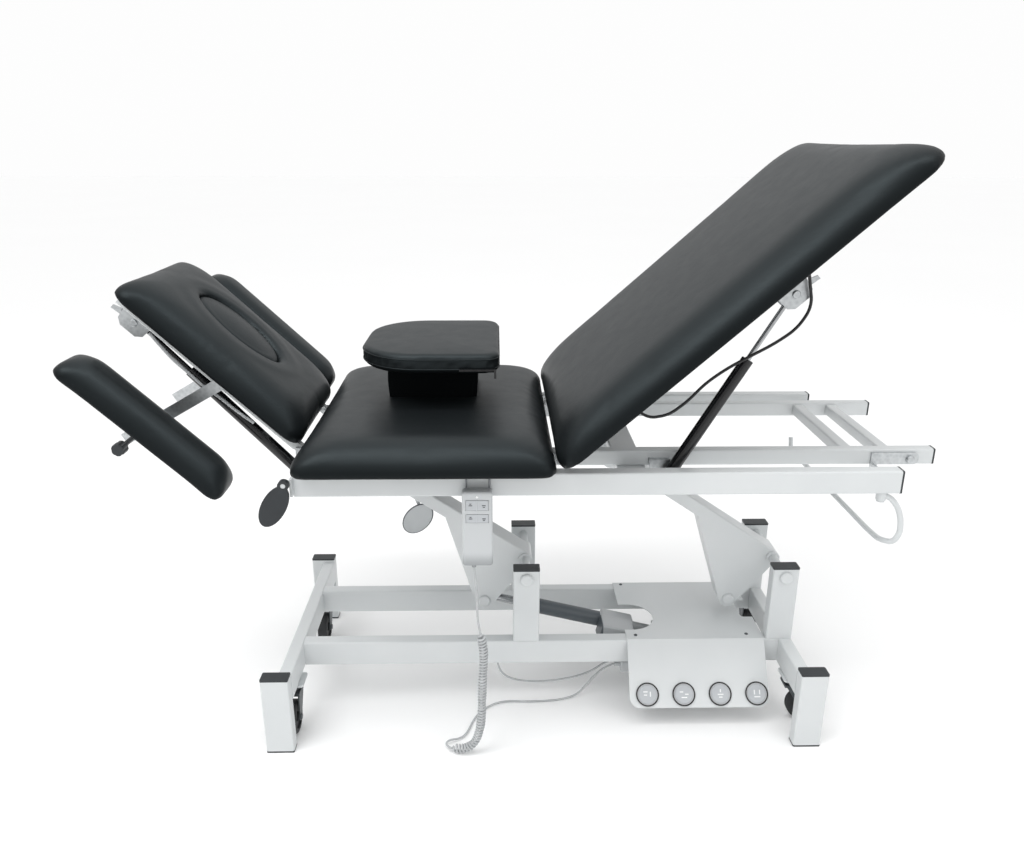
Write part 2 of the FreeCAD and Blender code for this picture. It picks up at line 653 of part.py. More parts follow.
def back_section():
    rail_y_back = (187.0, 212.0)
    x0, z0 = on_back(0, 0)
    rails = []
    for side in (-1, 1):
        y = sorted((side * rail_y_back[0], side * rail_y_back[1]))
        rail = tube((x0 + 10, x0 + 852), y, (z0 - 25, z0 - 0.2), 0)
        knuckle = rod_y(back_hinge[0], back_hinge[1], y, 8.0)
        tongue = box((x0, x0 + 20), y, (back_hinge[1] - 8, back_hinge[1] + 8))
        joint = knuckle.fuse(tongue)
        joint = joint.cut(rod_y(back_hinge[0], back_hinge[1], (-230, 230), hinge_pin_r + running_gap))
        rails.append(raise_back(rail.fuse(joint).removeSplitter()))
    cross = tube((x0 + 812, x0 + 837), (-rail_y_back[0], rail_y_back[0]), (z0 - 25, z0 - 0.2), 1)
    save("back_frame", rails + [raise_back(cross)])
    pad = cushion((x0 + back_s[0], x0 + back_s[1]), (-couch_half_width, couch_half_width),
                  (z0, z0 + pad_thickness), 50, end_roll, side_roll, foot_edge)
    save("back_pad", [raise_back(pad)])
    pivot = on_back(back_strut["s"], back_strut["n"])
    save("back_bracket", [raise_back(strut_bracket(pivot, back_strut["y"], 1, z0 - 25.2))])
    up = spin(pivot, back_hinge, -back_angle)
    save("back_strut_rod", [strut_rod(up, back_strut["low"], back_strut["y"], back_strut["shown"], 105)])
    save("back_strut_cylinder", [strut_cylinder(up, back_strut["low"], back_strut["y"], back_strut["shown"])])
    # release cable from the bracket down along the near rail
    cable = [(596, -34), (566, -90), (520, -104), (470, -96), (420, -84), (370, -76), (320, -74), (272, -78),
             (228, -72), (196, -52), (186, -26)]
    path = []
    for s, n in cable:
        x, z = spin(on_back(s, n), back_hinge, -back_angle)
        path.append((x, back_strut["y"] - 30 + 7 * math.sin(len(path) * 1.3), z))
    save("back_cable", [route_tube("back_cable", path, 3.0)])
    print("back spring pivot", up)


def head_section():
    x0, z0 = on_head(0, 0)
    rail_w = 20.0
    rails = []
    for side in (-1, 1):
        y = sorted((side * (bar_y[0] - rail_w), side * bar_y[0]))
        rail = tube((x0 - 462, x0 - 12), y, (z0 - 20, z0 - 0.2), 0)
        joint = rod_y(head_hinge[0], head_hinge[1], y, 8.0)
        joint = joint.fuse(box((x0 - 22, x0), y, (head_hinge[1] - 8, head_hinge[1] + 8)))
        joint = joint.cut(rod_y(head_hinge[0], head_hinge[1], (-230, 230), hinge_pin_r + running_gap))
        rails.append(raise_head(rail.fuse(joint).removeSplitter()))
    for s in (80.0, 440.0):
        inner = bar_y[0] - rail_w
        rails.append(raise_head(tube((x0 - s, x0 - s + 20), (-inner, inner), (z0 - 20, z0 - 0.2), 1)))
    save("head_frame", rails)
    pad = cushion((x0 - head_s[1], x0 - head_s[0]), (-head_half_width, head_half_width),
                  (z0, z0 + head_thickness), 55, end_roll, side_roll, foot_edge)
    hole = Part.Ellipse(V(x0 - plug_s, 0, z0 - 5), plug_half_length, plug_half_width)
    face = Part.Face(Part.Wire(hole.toShape()))
    pad = pad.cut(face.extrude(V(0, 0, head_thickness + 20)))
    save("head_pad", [raise_head(pad)])
    core = Part.Ellipse(V(x0 - plug_s, 0, z0 + 0.5), plug_half_length - plug_gap, plug_half_width - plug_gap)
    plug = Part.Face(Part.Wire(core.toShape())).extrude(V(0, 0, head_thickness + 9))
    top_rim = [e for e in plug.Edges if e.BoundBox.ZMin > z0 + head_thickness]
    plug = plug.makeFillet(8.0, top_rim)
    save("face_plug", [raise_head(plug)])
    # flat bars for the armrests, and the gas spring's bracket
    fittings = []
    bar_x = on_head(bar_top_s, 0)[0]
    for side in (-1, 1):
        y = sorted((side * bar_y[0], side * bar_y[1]))
        flat = box((bar_x - bar_width / 2, bar_x + bar_width / 2), y, (z0 - bar_length, z0 - 5))
        flat = around(flat, (bar_x, z0), bar_lean)
        fittings.append(raise_head(flat))
    pivot = on_head(head_strut["s"], head_strut["n"])
    fittings.append(raise_head(strut_bracket(pivot, head_strut["y"], -1, z0 - 20.2)))
    save("head_fittings", fittings)
    up = spin(pivot, head_hinge, head_angle)
    save("head_strut_rod", [strut_rod(up, head_strut["low"], head_strut["y"], head_strut["shown"], 90)])
    save("head_strut_cylinder", [strut_cylinder(up, head_strut["low"], head_strut["y"], head_strut["shown"])])
    cable = [(381, -33), (350, -40), (312, -45), (272, -44), (232, -48), (192, -44), (150, -42), (108, -38)]
    path = []
    for i, (s, n) in enumerate(cable):
        x, z = spin(on_head(s, n), head_hinge, head_angle)
        path.append((x, head_strut["y"] - 20 + 3 * math.sin(i * 1.7), z))
    save("head_cable", [route_tube("head_cable", path, 3.0)])
    print("head spring pivot", up)


def armrest(name, side, s, bottom):
    """Armrest pad on a sleeve that slides down its flat bar, with a clamp knob on a long screw."""
    x0, z0 = on_head(0, 0)
    pad_y = sorted((side * 192.0, side * 302.0))
    pad = cushion((x0 - s[1], x0 - s[0]), pad_y, (z0 + bottom, z0 + bottom + 50),
                  36, 30, 26, foot_edge)
    save("%s_armrest_pad" % name, [raise_head(pad)])
    bar_x = on_head(bar_top_s, 0)[0]
    half = bar_width / 2 + sleeve_gap
    y_in = (side * (bar_y[0] - sleeve_gap), side * (bar_y[1] + sleeve_gap))
    y_out = sorted((y_in[0] - side * 4, y_in[1] + side * 4))
    lean = math.tan(math.radians(bar_lean))
    top = -bottom / math.cos(math.radians(bar_lean))
    sleeve = box((bar_x - half - 4, bar_x + half + 4), y_out, (z0 - top - 66, z0 - top - 2))
    nut = rod_y(bar_x, z0 - top - 48, sorted((y_in[1] + side * 3.5, y_in[1] + side * 14)), 11)
    sleeve = sleeve.fuse(nut)
    sleeve = sleeve.cut(box((bar_x - half, bar_x + half), sorted(y_in), (z0 - top - 80, z0 - top + 20)))
    # the inner wall stops short of the section's rail
    inner_top = box((bar_x - 60, bar_x + 60), sorted((side * (bar_y[0] - 10), y_in[1])),
                    (z0 - top - 24, z0 - top + 20))
    sleeve = sleeve.cut(inner_top)
    screw_hole = rod_y(bar_x, z0 - top - 48, sorted((y_in[1] - side, y_in[1] + side * 30)), 5.0 + running_gap)
    sleeve = around(sleeve.cut(screw_hole), (bar_x, z0), bar_lean)
    shelf_x = bar_x + bottom * lean
    shelf = box((shelf_x - 32, shelf_x + 32), sorted((y_in[1] + side * 0.5, side * 262.0)),
                (z0 + bottom - 4.2, z0 + bottom - 0.2))
    save("%s_armrest_sleeve" % name, [raise_head(sleeve.fuse(shelf).removeSplitter())])
    screw = rod_y(bar_x, z0 - top - 48, sorted((y_in[1] + side * 0.2, side * 259.0)), 5.0)
    knob = rod_y(bar_x, z0 - top - 48, sorted((side * 258.0, side * 282.0)), 13.0)
    knob = knob.makeFillet(3.5, knob.Edges)
    for k in range(6):
        a = math.radians(60 * k)
        groove = rod_y(bar_x + 17 * math.cos(a), z0 - top - 48 + 17 * math.sin(a), (-290, 290), 6.0)
        knob = knob.cut(groove)
    knob = around(knob.fuse(screw).removeSplitter(), (bar_x, z0), bar_lean)
    save("%s_clamp_knob" % name, [raise_head(knob)])
    centre = spin(spin((bar_x, z0 - top - 48), (bar_x, z0), bar_lean), head_hinge, head_angle)
    print("%s knob centre" % name, centre)


# ---------------------------------------------------------------- small fittings
def caster(name, x, y, heading):
    """Swivel fork and wheel; heading is the direction in which the wheel trails, in degrees."""
    crown = rail_bottom - 4.5
    axle_z = wheel_r + 1.0
    stem = rod((x, y, crown - 2), (x, y, crown + 4), 6.0)
    race = rod((x, y, crown - 14), (x, y, crown), 19.0)
    race = race.makeFillet(3.0, [e for e in race.Edges if e.BoundBox.ZMax < crown - 13])
    head = box((x - 20, x + 30), (y - 17, y + 17), (crown - 20, crown - 14))
    fork = stem.fuse(race).fuse(head)
    axle_x = x + caster_trail
    for side in (-1, 1):
        cheek_y = sorted((y + side * 13.6, y + side * 16.6))
        cheek = plate([(x - 18, crown - 15), (axle_x - 9, axle_z - 6), (axle_x, axle_z - 11), (axle_x + 9, axle_z - 4),
                       (x + 30, crown - 15)], cheek_y)
        fork = fork.fuse(cheek)
        fork = fork.fuse(dome(axle_x, axle_z, y + side * 16.6, side, 7.0, 3.5))
    fork = fork.fuse(rod_y(axle_x, axle_z, (y - 16, y + 16), 4.0)).removeSplitter()
    wheel = rod_y(axle_x, axle_z, (y - wheel_width / 2, y + wheel_width / 2), wheel_r)
    wheel = wheel.makeFillet(6.0, wheel.Edges)
    wheel = wheel.cut(rod_y(axle_x, axle_z, (y - 20, y + 20), 4.0 + running_gap))
    for side in (-1, 1):
        face = y + side * wheel_width / 2
        dish = rod_y(axle_x, axle_z, sorted((face - side * 4, face + side)), 27.0)
        hub = rod_y(axle_x, axle_z, sorted((face - side * 4, face + side * 0.4)), 11.0)
        wheel = wheel.cut(dish.cut(hub))
    for part, label in ((fork, "fork"), (wheel, "wheel")):
        part.rotate(V(x, y, 0), V(0, 0, 1), heading)
        save("caster_%s_%s" % (label, name), [part])


def paper_roll_rod():
    x, y = rod_post
    collar = rod((x, y, 588.5), (x, y, outer_rail_z[0] - 0.4), 10.0)
    path = [(x + 7, y, 597), (x + 24, y, 588), (x + 40, y, 567), (x + 49, y, 541), (x + 51, y, 512),
            (x + 43, y + 6, 488), (x + 26, y + 32, 482.5), (x + 23, y + 80, 482), (x + 22.5, y + 170, 482.4),
            (x + 22, y + 300, 482), (x + 22.2, y + 430, 482.4), (x + 22, y + 545, 482), (x + 22, y + 566, 486),
            (x + 22, y + 574, 514)]
    bent = route_tube("paper_roll_rod", path, 5.8)
    bore = rod((x, y, 580), (x, y, 610), 5.0 + running_gap)
    return [bent.fuse(collar).cut(bore).removeSplitter()]


def oval_plate(centre, half_long, half_wide, angle, y):
    """Oval plate in the X-Z plane; the angle is measured from +X towards +Z."""
    oval = Part.Ellipse(V(0, 0, 0), half_long, half_wide).toShape()
    shape = Part.Face(Part.Wire(oval)).extrude(V(0, 0, y[1] - y[0]))
    shape.rotate(V(0, 0, 0), V(1, 0, 0), 90)
    shape.translate(V(centre[0], y[1], centre[1]))
    shape.rotate(V(centre[0], 0, centre[1]), V(0, 1, 0), -angle)
    rims = [e for e in shape.Edges if e.BoundBox.YMax - e.BoundBox.YMin < 1e-4]
    return shape.makeFillet(2.0, rims)


def paddles():
    # near paddle: a leaf that hangs from a pin at the rail's left end
    pivot = (frame_left - 14, 640.0)
    leaf = oval_plate((-478.0, 596.0), 47.0, 24.0, 60.0, (-303.0, -295.0))
    neck = plate([(pivot[0] - 11, 640), (pivot[0] + 9, 646), (-468, 612), (-484, 612)], (-302.0, -296.0))
    leaf = leaf.fuse(neck).fuse(rod_y(pivot[0], pivot[1], (-303, -291), 11.0))
    save("head_paddle", [leaf.cut(rod_y(pivot[0], pivot[1], (-310, -280), 5 + running_gap)).removeSplitter()])
    # far-side paddle: an oval on a thin rod
    pivot = (lift_tops[0][0] + 44, 614.0)
    oval = oval_plate((-236.0, 402.0), 43.0, 29.0, 48.0, (50.0, 58.0))
    stem = rod((pivot[0], 62, pivot[1]), (-226.0, 62, 418.0), 4.0)
    oval = oval.fuse(stem).fuse(rod_y(pivot[0], pivot[1], (56.5, 67.5), 9.0))
    oval = oval.fuse(rod((-226.0, 62, 418.0), (-226.0, 54, 418.0), 4.0))
    save("back_paddle", [oval.cut(rod_y(pivot[0], pivot[1], (40, 70), 4 + running_gap)).removeSplitter()])


handset_x = (-113.0, -53.0)
handset_y = (-308.0, -282.0)
key_rows = [(600.0, 21.0), (572.0, 17.0)]


def handset():
    case = box(handset_x, handset_y, (467.0, 627.6))
    case = case.makeFillet(6.0, case.Edges)
    for z, height in key_rows:
        middle = (handset_x[0] + handset_x[1]) / 2
        pocket = box((middle - 22.6, middle + 22.6), (handset_y[0] - 1, handset_y[0] + 4),
                     (z - height / 2 - 0.6, z + height / 2 + 0.6))
        case = case.cut(pocket)
    gland = rod((-91, -295, 460), (-91, -295, 469), 4.5)
    case = case.fuse(gland).removeSplitter()
    hooks = []
    near, far = -281.0, -245.6
    for x in (-104.5, -59.0):
        path = [(x, near - 3, 618), (x, near - 3.2, 640), (x + 0.2, near + 1, 655.4), (x, near + 8, 656.9),
                (x + 0.2, far - 8, 656.8), (x, far - 1, 654.6), (x + 0.2, far + 1, 643)]
        hooks.append(route_tube("handset hook", path, 1.9))
        case = case.cut(rod((x, near - 3, 610), (x, near - 3, 640), 1.95))
    return [case] + hooks


def handset_rocker(z, height):
    middle = (handset_x[0] + handset_x[1]) / 2
    key = box((middle - 22, middle + 22), (handset_y[0] - 1.6, handset_y[0] + 1.6), (z - height / 2, z + height / 2))
    key = key.makeFillet(1.2, key.Edges)
    axle = rod((middle, handset_y[0], z - height / 2 - 0.3), (middle, handset_y[0], z + height / 2 + 0.3), 2.0)
    return [key.fuse(axle).removeSplitter()]


def pillow():
    shape = box((-334, -38), (-137, 220), (815, 857))
    left = [e for e in along(shape, 2) if e.CenterOfMass.x < -200]
    shape = shape.makeFillet(130, left)
    right = [e for e in along(shape, 2) if e.CenterOfMass.x > -60]
    shape = shape.makeFillet(36, right)
    rims = [e for e in shape.Edges if e.BoundBox.ZMax - e.BoundBox.ZMin < 1e-4]
    return [shape.makeFillet(12, rims)]


def pillow_block():
    return [cushion((-282, -88), (-22, 150), (board_z + pad_thickness + 0.5, 814.5),
                    14, 4, 4, 4)]


# ---------------------------------------------------------------- write every node
save("base_frame", base_frame())
save("base_uprights", base_uprights())
save("tube_plugs", tube_plugs())
save("arm_shafts", arm_shafts())
save("foot_cover", foot_cover())
save("foot_switch_rings", foot_switch_rings())
save("control_box", control_box())
cables()
save("lift_arm_left", lift_arm(pivot_low_x[0]))
save("lift_arm_right", lift_arm(pivot_low_x[1]))
actuator()
save("lift_frame", lift_frame())
save("top_frame", top_frame())
save("rail_end_caps", rail_end_caps())
save("tilt_ears", tilt_ears())
save("section_hinges", section_hinges())
save("seat_pad", seat_pad())
back_section()
head_section()
armrest("near", -1, (58.5, 446.5), -142.0)
armrest("far", 1, (21.5, 416.5), -5.0)
for i, x in enumerate(button_x):
    save("foot_button_%d" % (i + 1), [foot_button(x)])
save("handset", handset())
for label, (z, height) in zip(("upper", "lower"), key_rows):
    save("handset_rocker_%s" % label, handset_rocker(z, height))
caster("near_left", caster_x[0], -caster_y, -90)
caster("far_left", caster_x[0], caster_y, -90)
caster("near_right", caster_x[1], -caster_y, 0)
caster("far_right", caster_x[1], caster_y, -90)
paddles()
save("paper_roll_rod", paper_roll_rod())
save("pillow", pillow())
save("pillow_block", pillow_block())
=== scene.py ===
import math
import bmesh
import bpy
import numpy as np
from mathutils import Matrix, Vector


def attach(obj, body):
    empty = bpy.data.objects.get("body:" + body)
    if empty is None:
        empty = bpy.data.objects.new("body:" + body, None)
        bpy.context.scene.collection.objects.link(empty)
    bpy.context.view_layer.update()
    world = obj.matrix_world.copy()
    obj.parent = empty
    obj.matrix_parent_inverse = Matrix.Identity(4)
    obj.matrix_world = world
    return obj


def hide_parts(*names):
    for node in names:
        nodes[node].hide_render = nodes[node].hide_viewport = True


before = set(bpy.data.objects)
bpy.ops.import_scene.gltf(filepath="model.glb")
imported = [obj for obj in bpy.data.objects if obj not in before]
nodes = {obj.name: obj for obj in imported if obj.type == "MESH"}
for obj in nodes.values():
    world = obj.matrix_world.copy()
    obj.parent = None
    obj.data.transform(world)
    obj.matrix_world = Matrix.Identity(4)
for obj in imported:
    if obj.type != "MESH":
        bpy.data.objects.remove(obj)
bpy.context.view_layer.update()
rng = np.random.default_rng(7)
print("frame loaded", len(nodes), "nodes")


# camera and studio
camera = {"place": (-0.0454, -1.7801, 1.2710), "down": 18.696, "turn": 1.157, "roll": 0.132, "lens": 29.14}


def makeCamera():
    data = bpy.data.cameras.new("studioCamera")
    data.lens = camera["lens"]
    data.sensor_width = 36.0
    data.clip_end = 60.0
    cam = bpy.data.objects.new("studioCamera", data)
    bpy.context.scene.collection.objects.link(cam)
    down, turn, roll = (math.radians(camera[k]) for k in ("down", "turn", "roll"))
    # looking along +Y, turned to the right, then down, then rolled about the view line
    forward = np.array([math.sin(turn) * math.cos(down), math.cos(turn) * math.cos(down), -math.sin(down)])
    right = np.array([math.cos(turn), -math.sin(turn), 0.0])
    up = np.cross(right, forward)
    right, up = math.cos(roll) * right + math.sin(roll) * up, math.cos(roll) * up - math.sin(roll) * right
    from mathutils import Matrix
    rows = np.stack([right, up, -forward], axis=1)
    matrix = Matrix([list(r) for r in rows]).to_4x4()
    matrix.translation = camera["place"]
    cam.matrix_world = matrix
    bpy.context.scene.camera = cam


studio = {"horizon": 0.62, "zenith": 1.22,
          "lights": [
              ("keyLight", (-1.5, -1.3, 3.0), (1.8, 1.0), 26.0, (-0.1, 0.0, 0.6)),
              ("stripLight", (0.0, -0.75, 2.9), (2.6, 0.5), 20.0, (0.0, -0.1, 0.6)),
              ("fillLight", (2.4, -2.4, 2.2), (1.4, 1.4), 8.0, (0.2, 0.0, 0.6))]}


def makeStudio():
    scene = bpy.context.scene
    world = bpy.data.worlds.new("studioWorld")
    world.use_nodes = True
    tree = world.node_tree
    back = tree.nodes["Background"]
    back.inputs["Color"].default_value = (1, 1, 1, 1)
    # light grows from the horizon to the zenith; the backdrop itself stays white
    coords = tree.nodes.new("ShaderNodeTexCoord")
    parts = tree.nodes.new("ShaderNodeSeparateXYZ")
    rise = tree.nodes.new("ShaderNodeMapRange")
    rise.inputs["To Min"].default_value = studio["horizon"]
    rise.inputs["To Max"].default_value = studio["zenith"]
    seen = tree.nodes.new("ShaderNodeLightPath")
    pick = tree.nodes.new("ShaderNodeMix")
    pick.inputs["B"].default_value = 0.985
    tree.links.new(coords.outputs["Generated"], parts.inputs["Vector"])
    tree.links.new(parts.outputs["Z"], rise.inputs["Value"])
    tree.links.new(seen.outputs["Is Camera Ray"], pick.inputs["Factor"])
    tree.links.new(rise.outputs["Result"], pick.inputs["A"])
    tree.links.new(pick.outputs["Result"], back.inputs["Strength"])
    scene.world = world
    scene.view_settings.view_transform = "Standard"
    for name, place, size, power, aim in studio["lights"]:
        lamp = bpy.data.lights.new(name, "AREA")
        lamp.shape = "RECTANGLE"
        lamp.size, lamp.size_y = size
        lamp.energy = power
        obj = bpy.data.objects.new(name, lamp)
        obj.location = place
        obj.rotation_euler = (Vector(aim) - Vector(place)).to_track_quat("-Z", "Y").to_euler()
        scene.collection.objects.link(obj)
    # floor: one square in the plane z = 0
    reach = 30.0
    data = bpy.data.meshes.new("studioFloor")
    corners = [(-reach, -reach, 0), (reach, -reach, 0), (reach, reach, 0), (-reach, reach, 0)]
    data.from_pydata(corners, [], [(0, 1, 2, 3)])
    floor = bpy.data.objects.new("studioFloor", data)
    scene.collection.objects.link(floor)
    data.materials.append(finish["floor"])


# finishes
finish = {}


# A small helper that wires one material: nodes are added by type and linked by socket name.
class Shader:

    def __init__(self, name, color, rough, metal=0.0):
        self.mat = bpy.data.materials.new(name)
        self.mat.use_nodes = True
        self.tree = self.mat.node_tree
        self.bsdf = self.tree.nodes["Principled BSDF"]
        self.bsdf.inputs["Base Color"].default_value = (*color, 1)
        self.bsdf.inputs["Roughness"].default_value = rough
        self.bsdf.inputs["Metallic"].default_value = metal
        self.mat.diffuse_color = (*color, 1)
        finish[name] = self.mat

    def add(self, kind, **values):
        node = self.tree.nodes.new(kind)
        for key, value in values.items():
            if key in node.inputs:
                node.inputs[key].default_value = value
            else:
                setattr(node, key, value)
        return node

    def link(self, a, output, b, entry):
        self.tree.links.new(a.outputs[output], b.inputs[entry])

    def coords(self):
        if not hasattr(self, "_coords"):
            self._coords = self.add("ShaderNodeTexCoord")
        return self._coords

    def noise(self, scale, detail=4.0, rough=0.5, stretch=None):
        node = self.add("ShaderNodeTexNoise", Scale=scale, Detail=detail, Roughness=rough)
        if stretch:
            mapping = self.add("ShaderNodeMapping", Scale=stretch)
            self.link(self.coords(), "Object", mapping, "Vector")
            self.link(mapping, "Vector", node, "Vector")
        else:
            self.link(self.coords(), "Object", node, "Vector")
        return node

    def cells(self, scale, feature="F1"):
        node = self.add("ShaderNodeTexVoronoi", Scale=scale)
        node.feature = feature
        self.link(self.coords(), "Object", node, "Vector")
        return node

    def ramp(self, source, output, stops):
        node = self.add("ShaderNodeValToRGB")
        while len(node.color_ramp.elements) < len(stops):
            node.color_ramp.elements.new(0.5)
        for element, (place, color) in zip(node.color_ramp.elements, stops):
            element.position = place
            element.color = (*color, 1)
        self.link(source, output, node, "Fac")
        return node

    # base colour that wanders between two shades with a source's output
    def mottle(self, source, output, low, high, stops=(0.3, 0.7)):
        shades = self.ramp(source, output, [(stops[0], low), (stops[1], high)])
        self.link(shades, "Color", self.bsdf, "Base Color")

    def span(self, source, output, lo, hi):
        node = self.add("ShaderNodeMapRange")
        node.inputs["To Min"].default_value = lo
        node.inputs["To Max"].default_value = hi
        self.link(source, output, node, "Value")
        return node

    def bump(self, source, output, height, strength=1.0, before=None):
        node = self.add("ShaderNodeBump", Strength=strength, Distance=height)
        self.link(source, output, node, "Height")
        if before:
            self.link(before, "Normal", node, "Normal")
        return node


def grey(v, tint=(1.0, 1.0, 1.0)):
    return tuple(v * t for t in tint)


vinyl = {"tint": (0.80, 0.97, 1.07), "dark": 0.0036, "light": 0.0115, "specTint": (0.80, 0.95, 1.0)}


def makeVinyl(name, grainScale, rough, spec):
    s = Shader(name, grey(vinyl["light"], vinyl["tint"]), 0.45)
    # mottled tone times painted shade, darker towards the foot of the pad: colour = tone(noise) x (0.35 + 0.65 rise);
    # the specular level also drops towards the foot
    tone = s.noise(3.2, 5.0)
    mottle = s.ramp(tone, "Fac", [(0.3, grey(0.0095, vinyl["tint"])), (0.72, grey(vinyl["light"], vinyl["tint"]))])
    rise = s.add("ShaderNodeAttribute", attribute_name="rise")
    paintedFootShade = s.add("ShaderNodeMix", data_type="RGBA", blend_type="MULTIPLY")
    paintedFootShade.inputs["Factor"].default_value = 1.0
    s.link(mottle, "Color", paintedFootShade, "A")
    s.link(s.ramp(rise, "Fac", [(0.0, (0.30, 0.30, 0.30)), (0.85, (1, 1, 1))]), "Color", paintedFootShade, "B")
    s.link(paintedFootShade, "Result", s.bsdf, "Base Color")
    s.link(s.span(rise, "Fac", 0.35 * spec, spec), "Result", s.bsdf, "Specular IOR Level")
    s.bsdf.inputs["Specular Tint"].default_value = (*vinyl["specTint"], 1)
    s.link(s.span(s.noise(26.0, 6.0, 0.6), "Fac", *rough), "Result", s.bsdf, "Roughness")
    creases = s.noise(48.0, 6.0, 0.55, stretch=(1.0, 1.0, 1.6))
    b1 = s.bump(creases, "Fac", 0.0012, 0.22)
    b2 = s.bump(s.cells(grainScale, "DISTANCE_TO_EDGE"), "Distance", 0.00022, 0.55, b1)
    b3 = s.bump(s.noise(1500.0, 3.0), "Fac", 0.00008, 0.35, b2)
    s.link(b3, "Normal", s.bsdf, "Normal")


def makeFinishes():
    makeVinyl("blackVinyl", 620.0, (0.34, 0.46), 0.33)
    makeVinyl("pillowVinyl", 700.0, (0.38, 0.52), 0.34)
    makeVinyl("underCloth", 1500.0, (0.7, 0.85), 0.10)

    s = Shader("whiteSteel", (0.63, 0.655, 0.66), 0.34)
    patch = s.noise(5.0, 4.0)
    s.mottle(patch, "Fac", (0.605, 0.63, 0.638), (0.655, 0.675, 0.68))
    s.link(s.span(s.noise(60.0), "Fac", 0.27, 0.40), "Result", s.bsdf, "Roughness")
    s.link(s.bump(s.noise(900.0, 2.0), "Fac", 0.00012, 0.35), "Normal", s.bsdf, "Normal")

    s = Shader("slatePlastic", (0.012, 0.016, 0.019), 0.42)
    s.mottle(s.noise(14.0), "Fac", (0.010, 0.013, 0.016), (0.020, 0.025, 0.029))
    s.link(s.bump(s.cells(1100.0), "Distance", 0.00015, 0.4), "Normal", s.bsdf, "Normal")
    s.link(s.span(s.noise(80.0), "Fac", 0.36, 0.52), "Result", s.bsdf, "Roughness")

    s = Shader("soleRubber", (0.008, 0.009, 0.010), 0.75)
    s.link(s.bump(s.noise(500.0), "Fac", 0.0002, 0.5), "Normal", s.bsdf, "Normal")

    s = Shader("zincSteel", (0.50, 0.52, 0.53), 0.36, 1.0)
    spangle = s.cells(130.0)
    s.mottle(spangle, "Distance", (0.44, 0.46, 0.47), (0.60, 0.62, 0.63), (0.0, 1.0))
    s.link(s.span(s.noise(220.0, 5.0, 0.6, (1, 1, 8)), "Fac", 0.28, 0.48), "Result", s.bsdf, "Roughness")
    s.link(s.bump(s.noise(700.0), "Fac", 0.00006, 0.4), "Normal", s.bsdf, "Normal")

    s = Shader("chrome", (0.68, 0.69, 0.70), 0.12, 1.0)
    s.link(s.span(s.noise(90.0), "Fac", 0.08, 0.2), "Result", s.bsdf, "Roughness")

    s = Shader("blackEnamel", (0.006, 0.006, 0.007), 0.22)
    s.link(s.span(s.noise(40.0), "Fac", 0.16, 0.3), "Result", s.bsdf, "Roughness")
    s.link(s.bump(s.noise(600.0), "Fac", 0.00005, 0.3), "Normal", s.bsdf, "Normal")

    s = Shader("rodSteel", (0.42, 0.43, 0.44), 0.2, 1.0)
    s.link(s.span(s.noise(300.0, 3.0, 0.5, (1, 1, 12)), "Fac", 0.14, 0.3), "Result", s.bsdf, "Roughness")

    s = Shader("greyPlastic", (0.50, 0.52, 0.53), 0.38)
    s.mottle(s.noise(9.0), "Fac", (0.47, 0.49, 0.50), (0.54, 0.56, 0.57))
    s.link(s.bump(s.noise(1400.0), "Fac", 0.00008, 0.4), "Normal", s.bsdf, "Normal")

    s = Shader("keyPlastic", (0.46, 0.48, 0.50), 0.35)
    s.link(s.span(s.noise(70.0), "Fac", 0.28, 0.42), "Result", s.bsdf, "Roughness")
    s.link(s.bump(s.noise(1200.0), "Fac", 0.00006, 0.4), "Normal", s.bsdf, "Normal")

    s = Shader("iconWhite", (0.86, 0.87, 0.87), 0.4)
    s.link(s.span(s.noise(90.0), "Fac", 0.35, 0.5), "Result", s.bsdf, "Roughness")

    s = Shader("greyCord", (0.44, 0.455, 0.465), 0.5)
    s.mottle(s.noise(60.0), "Fac", (0.40, 0.415, 0.425), (0.50, 0.515, 0.525))
    s.link(s.bump(s.noise(1500.0), "Fac", 0.00006, 0.4), "Normal", s.bsdf, "Normal")

    s = Shader("blackCord", (0.009, 0.009, 0.010), 0.5)
    s.link(s.span(s.noise(120.0), "Fac", 0.4, 0.6), "Result", s.bsdf, "Roughness")

    s = Shader("tyreBlack", (0.011, 0.012, 0.013), 0.6)
    s.mottle(s.noise(40.0), "Fac", (0.008, 0.009, 0.010), (0.018, 0.020, 0.022))
    s.link(s.bump(s.noise(800.0), "Fac", 0.00012, 0.5), "Normal", s.bsdf, "Normal")

    s = Shader("forkSteel", (0.10, 0.11, 0.12), 0.38, 0.8)
    s.mottle(s.noise(30.0), "Fac", (0.07, 0.08, 0.085), (0.17, 0.18, 0.19))
    s.link(s.span(s.noise(150.0), "Fac", 0.3, 0.5), "Result", s.bsdf, "Roughness")

    s = Shader("actuatorPaint", (0.03, 0.036, 0.042), 0.4)
    # dark slate outer tube up to the gearbox, light grey housing past it
    parting = s.add("ShaderNodeSeparateXYZ")
    s.link(s.coords(), "Object", parting, "Vector")
    pick = s.add("ShaderNodeMath", operation="GREATER_THAN")
    pick.inputs[1].default_value = 0.2085
    s.link(parting, "X", pick, 0)
    mix = s.add("ShaderNodeMix", data_type="RGBA")
    mix.inputs["A"].default_value = (0.085, 0.10, 0.112, 1)
    mix.inputs["B"].default_value = (0.44, 0.455, 0.465, 1)
    s.link(pick, "Value", mix, "Factor")
    s.link(mix, "Result", s.bsdf, "Base Color")
    s.link(s.bump(s.noise(900.0), "Fac", 0.00008, 0.4), "Normal", s.bsdf, "Normal")

    s = Shader("handsetShell", (0.46, 0.48, 0.49), 0.36)
